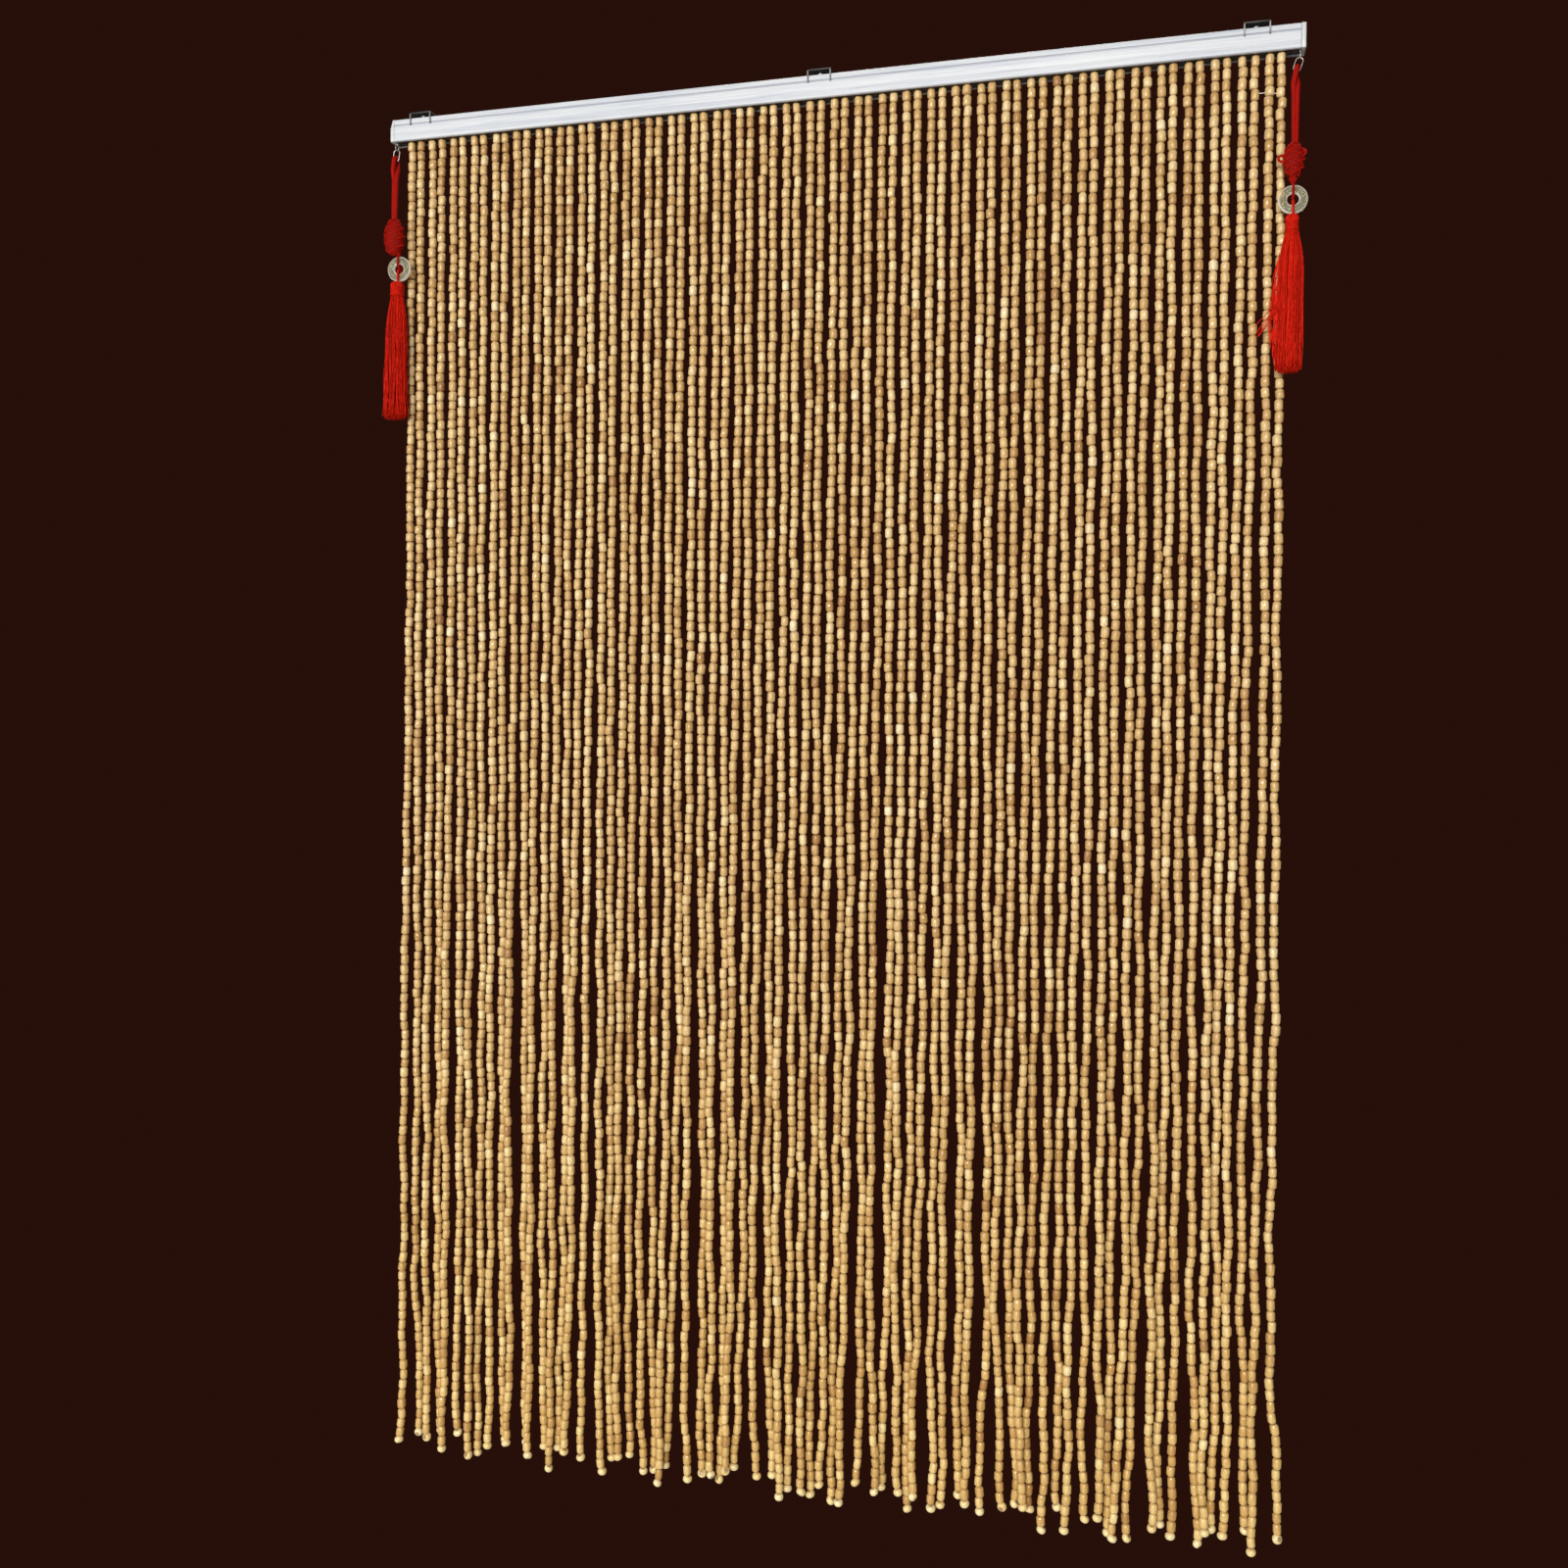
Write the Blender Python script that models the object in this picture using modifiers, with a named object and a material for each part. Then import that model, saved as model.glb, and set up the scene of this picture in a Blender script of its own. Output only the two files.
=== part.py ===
"""Bamboo bead door curtain on a slim headrail, with a red knotted tassel at each end.

Metres, +Z up, +X to the right and -Y towards the viewer. The origin is on the top face of the
middle clip, where the curtain is screwed up, and the strands hang in the plane y = 0.
"""

from math import atan2, cos, pi, radians, sin

import bmesh
import bpy
import numpy as np
from mathutils import Matrix, Vector

# General values
GAP = 0.0003
MERGE = 0.00005
SMOOTH_ANGLE = radians(35)

# Headrail and its end caps
RAIL_LENGTH = 0.900
RAIL_HEIGHT = 0.0225
RAIL_DEPTH = 0.018
RAIL_WALL = 0.0012
RAIL_LIP = 0.0015
RAIL_EDGE = 0.0016
EDGE_STEPS = 3
GROOVE_BELOW_TOP = 0.0062
GROOVE_HALF_HEIGHT = 0.0010
GROOVE_DEPTH = 0.0009
CAP_THICKNESS = 0.004
CAP_EDGE = 0.0006
CAP_PLUG_LENGTH = 0.010
CAP_PLUG_HEIGHT = 0.010
CAP_PLUG_ROOT = 0.0012
CHAMFER_RUN = 0.0025
CHAMFER_DROP = 0.009

# Clips and their screws
CLIP_X = {"left": -0.416, "middle": 0.005, "right": 0.408}
CLIP_WIDTH = 0.0235
CLIP_PLATE = 0.0015
CLIP_HEADROOM = 0.0035
CLIP_LEG_WIDTH = 0.0014
CLIP_LEG_THICKNESS = 0.0011
CLIP_LEG_TAIL = 0.0014
NIB_DEPTH = 0.00045
SCREW_HEAD_RADIUS = 0.0040
SCREW_HEAD_HEIGHT = 0.0024
SCREW_FLAT_SHARE = 0.94
SCREW_RIM_SHARE = 0.2
SCREW_ROUND_STEPS = 3
TURN_STEPS = 20

RAIL_TOP = -(CLIP_PLATE + CLIP_HEADROOM)
RAIL_BOTTOM = RAIL_TOP - RAIL_HEIGHT
GROOVE_Z = RAIL_TOP - GROOVE_BELOW_TOP

# Bead strings: pairs of strands under a holder strip in the rail
PAIR_COUNT = 37
PAIR_PITCH = 0.0236
PAIR_SPREAD = 0.0104
PAIR_EVENS_OUT = 1.15
BEAD_WIDTH = 0.0075
STRAND_DROP = 1.3455
STRAND_RAGGED = 0.022
STRIP_THICKNESS = 0.002
STRIP_MARGIN = 0.0006
STRIP_Z = RAIL_BOTTOM + RAIL_WALL + GAP

# How the strands wander: little at the top, more towards the foot
STRAND_SEED = 11
LEVEL_COUNT = 14
LEVEL_CROWDING = 0.8
SWAY = 0.0015
SWAY_GROWTH = 1.2
FOOT_SWAY = 1.8
RIPPLE = 0.0006
TOUCHING_PITCH = 0.0079
CROSSED_PITCH = 0.0040
LANE = 0.0042
LANE_START = 0.55
LANE_END = 0.92
SETTLE_ROUNDS = 80

# Partings: where strands stand clear of each other over a long stretch
# Columns: centre x, depth where it starts, depth where it is widest, extra opening, reach
PARTINGS = (
    (-0.413, 0.45, 0.72, 0.0045, 0.016),
    (-0.367, 0.60, 0.85, 0.0055, 0.020),
    (-0.337, 0.85, 1.05, 0.0030, 0.016),
    (-0.226, 0.55, 1.05, 0.0080, 0.026),
    (-0.175, 0.60, 1.05, 0.0060, 0.020),
    (-0.150, 0.50, 1.10, 0.0070, 0.018),
    (-0.131, 0.80, 1.15, 0.0080, 0.018),
    (-0.113, 0.70, 1.20, 0.0060, 0.020),
    (0.031, 0.60, 1.00, 0.0035, 0.018),
    (0.067, 0.55, 0.95, 0.0035, 0.018),
    (0.137, 0.70, 1.10, 0.0035, 0.018),
    (0.170, 0.60, 1.10, 0.0045, 0.020),
    (0.411, 0.25, 0.60, 0.0045, 0.016),
)

# Metal eye and link that hold a tassel
WIRE_RADIUS = 0.0006
EYE_RADIUS = 0.0031
EYE_SHANK = 0.0032
EYE_TURN = radians(326)
EYE_STEPS = 18
LINK_LENGTH = 0.0135
LINK_WIDTH = 0.0076
LINK_STEPS = 7
EYE_Y = -0.004

# Red cord, knot, clear ring and tassel
CORD_RADIUS = 0.0012
LEG_RADIUS = 0.0018
LEG_SPREAD = 0.0019
NECK_RADIUS = 0.0017
LEG_STEPS = 12
LEG_TWIST_END = 0.30
BIGHT_STEPS = 4
ORNAMENT_Y = -0.0135
KNOT_FLATNESS = 0.75
KNOT_SEGMENTS = 20
KNOT_RINGS = 14
KNOT_RIDGES = 4
KNOT_RIDGE = 0.13
KNOT_RIDGE_TURNS = 1.2
KNOT_CORD_SHARE = 0.8
KNOT_NECK_SHARE = 0.6
EAR_RADIUS = 0.0030
EAR_STEPS = 10
RING_OUTER = 0.01275
RING_BAND = 0.0076
RING_THICKNESS = 0.0050
RING_STEPS = 28
RING_SIDES = 10
RING_LOOP_STEPS = 12
HEAD_RADIUS = 0.0058
HEAD_HEIGHT = 0.0150
HEAD_STEPS = 16
LOCK_LEVELS = 5
LOCK_ROOT_DEPTH = 0.004
LOCK_SEED = 5
LOCK_SWAY = 0.0007
LOCK_RAGGED = 0.004
SKIRT_WIDTH_RISE = 0.55
SKIRT_FLATNESS = 0.6

# A lock's three-sided section, in shares of its width from its middle
LOCK_OUTER_FACE = 0.45
LOCK_HALF_FACE = 0.50
LOCK_INNER_EDGE = 0.40

# The tassel's head from its top to its foot: a rounded cap, a waist, two bands and a hem
# Columns: share of the head's radius, share of its height
HEAD_PROFILE = (
    (0.00, 0.00),
    (0.55, 0.02),
    (0.85, 0.10),
    (1.00, 0.26),
    (0.92, 0.42),
    (1.06, 0.48),
    (0.92, 0.56),
    (1.06, 0.63),
    (0.92, 0.71),
    (1.05, 0.86),
    (0.96, 1.00),
    (0.00, 1.00),
)

# Rings of locks in a skirt
# Columns: locks in the ring, root radius, foot radius, root width, foot width
LOCK_RINGS = (
    (16, 0.0047, 0.0124, 0.0015, 0.0045),
    (9, 0.0028, 0.0072, 0.0014, 0.0045),
)

# Ornaments at the two ends: places are x and z, the lean is in degrees from straight down, an ear
# is its place from the knot's middle, and the fullness is a share of the skirt's full width
ORNAMENTS = {
    "left": {
        "eye_x": -0.4450, "link_lean": -8, "knot": (-0.4425, -0.1284), "knot_half": (0.0102, 0.0194),
        "ears": ((-0.0080, 0.0070), (-0.0065, -0.0110)), "ring": (-0.4363, -0.1620),
        "head_x": -0.4388, "foot": (-0.4405, -0.3165), "fullness": 0.97,
    },
    "right": {
        "eye_x": 0.4452, "link_lean": -18, "knot": (0.4409, -0.1313), "knot_half": (0.0084, 0.0155),
        "ears": ((-0.0097, 0.0048), (-0.0050, 0.0105), (0.0045, 0.0100)), "ring": (0.4396, -0.1643),
        "head_x": 0.4390, "foot": (0.4368, -0.3182), "fullness": 0.88,
    },
}


# Scene and materials

def clear_scene():
    """Remove what the scene holds before the curtain is made."""
    for item in list(bpy.data.objects):
        bpy.data.objects.remove(item, do_unlink=True)


def make_collection(name):
    """Add a collection to the scene."""
    collection = bpy.data.collections.new(name)
    bpy.context.scene.collection.children.link(collection)
    return collection


def make_material(name, colour, roughness, metallic=0.0, transmission=0.0):
    """One Principled surface."""
    material = bpy.data.materials.new(name)
    material.use_nodes = True
    shader = material.node_tree.nodes["Principled BSDF"]
    shader.inputs["Base Color"].default_value = (*colour, 1.0)
    shader.inputs["Roughness"].default_value = roughness
    shader.inputs["Metallic"].default_value = metallic
    shader.inputs["Transmission Weight"].default_value = transmission
    return material


def make_materials():
    """Every surface of the curtain, by name."""
    return {
        "rail": make_material("white_rail", (0.80, 0.81, 0.83), 0.45),
        "cap": make_material("cap_plastic", (0.84, 0.85, 0.84), 0.4),
        "clip": make_material("clip_plastic", (0.05, 0.05, 0.05), 0.4),
        "screw": make_material("screw_steel", (0.55, 0.53, 0.50), 0.35, 1.0),
        "bead": make_material("bead_wood", (0.69, 0.47, 0.23), 0.45),
        "wire": make_material("bright_wire", (0.75, 0.74, 0.72), 0.25, 1.0),
        "red_cord": make_material("red_cord", (0.55, 0.02, 0.02), 0.6),
        "red_thread": make_material("red_thread", (0.62, 0.02, 0.01), 0.5),
        "clear_ring": make_material("clear_ring", (0.90, 0.92, 0.86), 0.05, 0.0, 0.9),
    }


# Mesh helpers

def add_object(name, data, collection, material=None):
    """Put a mesh or a curve into a collection under its own name."""
    item = bpy.data.objects.new(name, data)
    collection.objects.link(item)
    if material is not None:
        data.materials.clear()
        data.materials.append(material)
    return item


def mesh_from_bmesh(name, shape):
    """Keep a bmesh as a mesh whose faces point out."""
    bmesh.ops.recalc_face_normals(shape, faces=shape.faces)
    mesh = bpy.data.meshes.new(name)
    shape.to_mesh(mesh)
    shape.free()
    return mesh


def shade_round(mesh):
    """Smooth shading with sharp edges where the surface turns."""
    mesh.shade_smooth()
    mesh.set_sharp_from_angle(angle=SMOOTH_ANGLE)


def box_bmesh(low, high):
    """A box between two corners."""
    low, high = Vector(low), Vector(high)
    shape = bmesh.new()
    place = Matrix.Translation((low + high) / 2) @ Matrix.Diagonal((*(high - low), 1.0))
    bmesh.ops.create_cube(shape, size=1.0, matrix=place)
    return shape


def box_mesh(name, low, high):
    """A box between two corners, as a mesh."""
    return mesh_from_bmesh(name, box_bmesh(low, high))


def loft(shape, rings):
    """Skin a row of rings with equal point counts, closed at both ends."""
    rows = [[shape.verts.new(point) for point in ring] for ring in rings]
    for upper, lower in zip(rows, rows[1:]):
        for here in range(len(upper)):
            beside = (here + 1) % len(upper)
            shape.faces.new((upper[here], upper[beside], lower[beside], lower[here]))
    shape.faces.new(rows[0])
    shape.faces.new(rows[-1])


def wire_mesh(name, points, radius, closed=False, resolution=2):
    """A round wire along points, as a closed mesh."""
    curve = bpy.data.curves.new(name, "CURVE")
    curve.dimensions = "3D"
    curve.bevel_depth = radius
    curve.bevel_resolution = resolution
    curve.use_fill_caps = not closed
    spline = curve.splines.new("POLY")
    spline.points.add(len(points) - 1)
    for spot, point in zip(spline.points, points):
        spot.co = (*point, 1.0)
    spline.use_cyclic_u = closed
    return mesh_from_curve(name, curve)


def mesh_from_curve(name, curve):
    """Evaluate a curve, weld its caps and return the mesh."""
    item = bpy.data.objects.new(name, curve)
    bpy.context.scene.collection.objects.link(item)
    graph = bpy.context.evaluated_depsgraph_get()
    mesh = bpy.data.meshes.new_from_object(item.evaluated_get(graph))
    bpy.data.objects.remove(item)
    shape = bmesh.new()
    shape.from_mesh(mesh)
    bmesh.ops.remove_doubles(shape, verts=shape.verts, dist=MERGE)
    bmesh.ops.recalc_face_normals(shape, faces=shape.faces)
    shape.to_mesh(mesh)
    shape.free()
    return mesh


def turned_mesh(name, profile, steps):
    """Turn a profile of radius and height, listed top to bottom, about Z."""
    mesh = bpy.data.meshes.new(name)
    edges = [(spot, spot + 1) for spot in range(len(profile) - 1)]
    mesh.from_pydata([(radius, 0.0, height) for radius, height in profile], edges, [])
    item = bpy.data.objects.new(name, mesh)
    bpy.context.scene.collection.objects.link(item)
    turn = item.modifiers.new("turn", "SCREW")
    turn.steps = steps
    turn.render_steps = steps
    turn.use_merge_vertices = True
    turn.merge_threshold = MERGE
    graph = bpy.context.evaluated_depsgraph_get()
    turned = bpy.data.meshes.new_from_object(item.evaluated_get(graph))
    bpy.data.objects.remove(item)
    return turned


def boolean(item, tool_mesh, operation, cutters):
    """Join or cut an object with a mesh that is kept among the cutters."""
    tool = add_object(f"{item.name}_{operation.lower()}_{len(item.modifiers)}", tool_mesh, cutters)
    tool.hide_render = True
    tool.display_type = "WIRE"
    step = item.modifiers.new(operation.lower(), "BOOLEAN")
    step.operation = operation
    step.object = tool


def ease(start, end, value):
    """0 before start, 1 after end and a smooth step between."""
    share = np.clip((value - start) / (end - start), 0.0, 1.0)
    return share * share * (3.0 - 2.0 * share)


# Headrail, caps, clips and screws

def rail_profile():
    """The channel's outer skin in y and z, from the front lip round to the back lip."""
    half = RAIL_DEPTH / 2
    bottom_arc = []
    top_arc = []
    for step in range(EDGE_STEPS + 1):
        turn = pi / 2 * step / EDGE_STEPS
        bottom_arc.append((-half + RAIL_EDGE * (1 - sin(turn)), RAIL_BOTTOM + RAIL_EDGE * (1 - cos(turn))))
        top_arc.append((-half + RAIL_EDGE * (1 - cos(turn)), RAIL_TOP - RAIL_EDGE * (1 - sin(turn))))
    groove = [
        (-half, GROOVE_Z - GROOVE_HALF_HEIGHT),
        (-half + GROOVE_DEPTH, GROOVE_Z),
        (-half, GROOVE_Z + GROOVE_HALF_HEIGHT),
    ]
    lip = [(-half + RAIL_WALL + RAIL_LIP, RAIL_BOTTOM)]
    front = lip + bottom_arc + groove + top_arc
    back = [(-y, z) for y, z in reversed(front)]
    return front + back


def make_headrail(parts, material):
    """A thin channel: the outer skin drawn along X, thickened inwards."""
    half = RAIL_LENGTH / 2 - CAP_THICKNESS - GAP
    shape = bmesh.new()
    row = [shape.verts.new((-half, y, z)) for y, z in rail_profile()]
    edges = [shape.edges.new(pair) for pair in zip(row, row[1:])]
    drawn = bmesh.ops.extrude_edge_only(shape, edges=edges)
    moved = [part for part in drawn["geom"] if isinstance(part, bmesh.types.BMVert)]
    bmesh.ops.translate(shape, verts=moved, vec=(2 * half, 0.0, 0.0))
    bmesh.ops.recalc_face_normals(shape, faces=shape.faces)
    shape.faces.ensure_lookup_table()
    top = max(shape.faces, key=lambda face: face.calc_center_median().z)
    if top.normal.z < 0:
        bmesh.ops.reverse_faces(shape, faces=shape.faces)
    mesh = bpy.data.meshes.new("headrail")
    shape.to_mesh(mesh)
    shape.free()
    rail = add_object("headrail", mesh, parts, material)
    shell = rail.modifiers.new("wall", "SOLIDIFY")
    shell.thickness = RAIL_WALL
    shell.offset = -1.0
    shell.use_even_offset = True


def make_cap(side, parts, cutters, material):
    """An end cap: a plate over the rail's end and a plug in its mouth."""
    outward = -1 if side == "left" else 1
    half = RAIL_DEPTH / 2
    outer_x = outward * RAIL_LENGTH / 2
    inner_x = outward * (RAIL_LENGTH / 2 - CAP_THICKNESS)
    ends = sorted((outer_x, inner_x))
    shape = box_bmesh((ends[0], -half, RAIL_BOTTOM), (ends[1], half, RAIL_TOP))
    if side == "left":
        cut_at = Vector((outer_x, 0.0, RAIL_TOP - CHAMFER_DROP))
        slope = Vector((outward * CHAMFER_DROP, 0.0, CHAMFER_RUN)).normalized()
        whole = shape.verts[:] + shape.edges[:] + shape.faces[:]
        bmesh.ops.bisect_plane(shape, geom=whole, plane_co=cut_at, plane_no=slope, clear_outer=True)
        rim = [edge for edge in shape.edges if edge.is_boundary]
        bmesh.ops.holes_fill(shape, edges=rim)
    bmesh.ops.bevel(shape, geom=shape.edges[:], offset=CAP_EDGE, segments=1, affect="EDGES")
    name = f"end_cap_{side}"
    cap = add_object(name, mesh_from_bmesh(name, shape), parts, material)
    plug_ends = sorted((inner_x + outward * CAP_PLUG_ROOT, inner_x - outward * CAP_PLUG_LENGTH))
    plug_half = half - RAIL_WALL - GAP
    low = (plug_ends[0], -plug_half, STRIP_Z)
    high = (plug_ends[1], plug_half, STRIP_Z + CAP_PLUG_HEIGHT)
    boolean(cap, box_mesh(f"{name}_plug", low, high), "UNION", cutters)


def clip_outline():
    """The clip seen along the rail, in y and z: a plate with a hooked leg at each side."""
    inner = RAIL_DEPTH / 2 + GAP
    outer = inner + CLIP_LEG_THICKNESS
    nib_half = NIB_DEPTH + GAP
    right_side = [
        (outer, 0.0),
        (outer, GROOVE_Z - CLIP_LEG_TAIL),
        (inner, GROOVE_Z - CLIP_LEG_TAIL),
        (inner, GROOVE_Z - nib_half),
        (inner - GAP - NIB_DEPTH, GROOVE_Z),
        (inner, GROOVE_Z + nib_half),
        (inner, -CLIP_PLATE),
    ]
    left_side = [(-y, z) for y, z in reversed(right_side)]
    return right_side + left_side


def make_clip(side, parts, cutters, material):
    """A clip: its outline drawn along X, then cleared between the two pairs of legs."""
    name = f"clip_{side}"
    curve = bpy.data.curves.new(name, "CURVE")
    curve.dimensions = "2D"
    curve.fill_mode = "BOTH"
    curve.extrude = CLIP_WIDTH / 2
    points = clip_outline()
    spline = curve.splines.new("POLY")
    spline.points.add(len(points) - 1)
    for spot, (y, z) in zip(spline.points, points):
        spot.co = (y, z, 0.0, 1.0)
    spline.use_cyclic_u = True
    mesh = mesh_from_curve(name, curve)
    along_rail = Matrix(((0, 0, 1, CLIP_X[side]), (1, 0, 0, 0), (0, 1, 0, 0), (0, 0, 0, 1)))
    mesh.transform(along_rail)
    clip = add_object(name, mesh, parts, material)
    reach = RAIL_DEPTH
    inside = CLIP_WIDTH / 2 - CLIP_LEG_WIDTH
    low = (CLIP_X[side] - inside, -reach, GROOVE_Z - CLIP_LEG_TAIL - GAP)
    high = (CLIP_X[side] + inside, reach, -CLIP_PLATE)
    boolean(clip, box_mesh(f"{name}_space", low, high), "DIFFERENCE", cutters)


def make_screw(side, parts, material):
    """The pan head of the screw, close under the clip's plate."""
    top = -CLIP_PLATE - GAP
    radius = SCREW_HEAD_RADIUS
    rim = SCREW_HEAD_HEIGHT * SCREW_RIM_SHARE
    profile = [(0.0, top), (radius * SCREW_FLAT_SHARE, top), (radius, top - rim)]
    for step in range(1, SCREW_ROUND_STEPS):
        turn = pi / 2 * step / SCREW_ROUND_STEPS
        profile.append((radius * cos(turn), top - rim - (SCREW_HEAD_HEIGHT - rim) * sin(turn)))
    profile.append((0.0, top - SCREW_HEAD_HEIGHT))
    mesh = turned_mesh(f"screw_{side}", profile, TURN_STEPS)
    mesh.transform(Matrix.Translation((CLIP_X[side], 0.0, 0.0)))
    shade_round(mesh)
    add_object(f"screw_{side}", mesh, parts, material)


# Bead strings

def strand_roots():
    """x of every strand at the holder strip, left to right."""
    pairs = (np.arange(PAIR_COUNT) - (PAIR_COUNT - 1) / 2) * PAIR_PITCH
    return np.sort(np.concatenate((pairs - PAIR_SPREAD / 2, pairs + PAIR_SPREAD / 2)))


def evened_roots(roots, depths):
    """Strands of a pair drift to an even spacing further down."""
    to_even = (PAIR_PITCH / 2 - PAIR_SPREAD) / 2
    side = np.where(np.arange(len(roots)) % 2 == 0, -1.0, 1.0)
    return roots[:, None] + side[:, None] * to_even * ease(0.0, PAIR_EVENS_OUT, depths)[None, :]


def level_depths():
    """Depths below the strip where the strands are placed, closer together near the foot."""
    share = np.linspace(0.0, 1.0, LEVEL_COUNT)
    return STRAND_DROP * share ** LEVEL_CROWDING


def parting_shift(roots, depths):
    """How far the partings push each strand sideways at each level."""
    shift = np.zeros((len(roots), len(depths)))
    for centre, start, widest, opening, reach in PARTINGS:
        away = roots - centre
        push = np.sign(away) * np.exp(-np.abs(away) / reach) * opening / 2
        shift += push[:, None] * ease(start, widest, depths)[None, :]
    return shift


def push_apart(row, least, step):
    """Move strands that are step places apart so that they keep at least their least distance."""
    lack = np.maximum(0.0, least - (row[step:] - row[:-step])) / 2
    row[step:] += lack
    row[:-step] -= lack


def strand_paths():
    """x, y and depth of every strand at every level."""
    rng = np.random.default_rng(STRAND_SEED)
    roots = strand_roots()
    depths = level_depths()
    count = len(roots)
    drift = np.cumsum(rng.normal(0.0, 1.0, (count, LEVEL_COUNT)), axis=1) / np.sqrt(LEVEL_COUNT)
    ripple = rng.normal(0.0, RIPPLE, (count, LEVEL_COUNT))
    growth = (depths / STRAND_DROP) ** SWAY_GROWTH
    growth[-1] *= FOOT_SWAY
    sway = (SWAY * drift + ripple) * growth[None, :]
    x = evened_roots(roots, depths) + sway + parting_shift(roots, depths)
    lane = ease(LANE_START, LANE_END, depths)
    side = np.where(np.arange(count) % 2 == 0, -1.0, 1.0)
    y = side[:, None] * LANE * lane[None, :]
    for level in range(1, LEVEL_COUNT):
        free = lane[level - 1] == 1.0
        for _ in range(SETTLE_ROUNDS):
            push_apart(x[:, level], CROSSED_PITCH if free else TOUCHING_PITCH, 1)
            push_apart(x[:, level], TOUCHING_PITCH, 2)
    foot = STRAND_RAGGED * rng.uniform(0.0, 1.0, count) ** 2
    return x, y, depths, foot


def make_bead_strings(parts, cutters, material):
    """The holder strip with every strand fused to its underside."""
    x, y, depths, foot = strand_paths()
    half = BEAD_WIDTH / 2
    corners = ((-half, -half), (half, -half), (half, half), (-half, half))
    shape = bmesh.new()
    for strand in range(len(x)):
        rings = []
        for level, depth in enumerate(depths):
            rise = STRIP_THICKNESS / 2 if level == 0 else 0.0
            ragged = foot[strand] if level == LEVEL_COUNT - 1 else 0.0
            z = STRIP_Z + rise - depth - ragged
            rings.append([(x[strand, level] + dx, y[strand, level] + dy, z) for dx, dy in corners])
        loft(shape, rings)
    strands = mesh_from_bmesh("strands", shape)
    reach = strand_roots()[-1] + half + STRIP_MARGIN
    width = RAIL_DEPTH / 2 - RAIL_WALL - GAP
    low = (-reach, -width, STRIP_Z)
    high = (reach, width, STRIP_Z + STRIP_THICKNESS)
    strings = add_object("bead_strings", box_mesh("bead_strings", low, high), parts, material)
    boolean(strings, strands, "UNION", cutters)


# Eyes, links, knots, rings and tassels

def eye_centre(place):
    """The middle of the eye's round."""
    return Vector((place["eye_x"], EYE_Y, STRIP_Z - GAP - EYE_SHANK - EYE_RADIUS))


def make_eye(side, place, parts, material):
    """A wire eye: a shank under the cap's plug, bent into a round that faces sideways."""
    centre = eye_centre(place)
    points = [centre + Vector((0.0, 0.0, EYE_RADIUS + EYE_SHANK))]
    for step in range(EYE_STEPS + 1):
        turn = EYE_TURN * step / EYE_STEPS
        points.append(centre + Vector((0.0, EYE_RADIUS * sin(turn), EYE_RADIUS * cos(turn))))
    mesh = wire_mesh(f"eye_{side}", points, WIRE_RADIUS)
    shade_round(mesh)
    add_object(f"eye_{side}", mesh, parts, material)


def link_frame(place):
    """The link's upper centre and the direction it leans in."""
    lean = radians(place["link_lean"])
    direction = Vector((sin(lean), 0.0, -cos(lean)))
    eye_foot = eye_centre(place) - Vector((0.0, 0.0, EYE_RADIUS))
    return eye_foot - direction * (2 * WIRE_RADIUS + GAP), direction


def make_link(side, place, parts, material):
    """A slim oval link whose upper bend goes through the eye."""
    top, direction = link_frame(place)
    across = Vector((-direction.z, 0.0, direction.x))
    bend = LINK_WIDTH / 2 - WIRE_RADIUS
    straight = LINK_LENGTH - LINK_WIDTH
    points = []
    for end, start_turn in ((0, 0.0), (1, pi)):
        centre = top + direction * (bend + end * straight)
        for step in range(LINK_STEPS + 1):
            turn = start_turn + pi * step / LINK_STEPS
            points.append(centre + across * bend * cos(turn) - direction * bend * sin(turn))
    mesh = wire_mesh(f"link_{side}", points, WIRE_RADIUS, closed=True)
    shade_round(mesh)
    add_object(f"link_{side}", mesh, parts, material)


def doubled_cord(place):
    """Up one leg, over the link's wire and down the other leg, turning as it goes."""
    top, direction = link_frame(place)
    bight = top + direction * (LINK_LENGTH - 2 * WIRE_RADIUS)
    turn_radius = WIRE_RADIUS + GAP + LEG_RADIUS
    knot_x, knot_z = place["knot"]
    end = Vector((knot_x, ORNAMENT_Y, knot_z + place["knot_half"][1] * KNOT_CORD_SHARE))
    leg = []
    for step in range(LEG_STEPS + 1):
        share = step / LEG_STEPS
        twist = pi / 2 * (1.0 - ease(0.0, LEG_TWIST_END, share))
        spread = LEG_SPREAD + (turn_radius - LEG_SPREAD) * max(0.0, 1.0 - share / LEG_TWIST_END)
        middle = bight.lerp(end, share)
        leg.append((middle, Vector((cos(twist), sin(twist), 0.0)) * spread))
    rising = [middle + offset for middle, offset in reversed(leg)]
    falling = [middle - offset for middle, offset in leg]
    over = []
    for step in range(1, BIGHT_STEPS):
        turn = pi * step / BIGHT_STEPS
        over.append(bight + (Vector((0.0, cos(turn), 0.0)) - direction * sin(turn)) * turn_radius)
    return rising + over + falling


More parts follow.
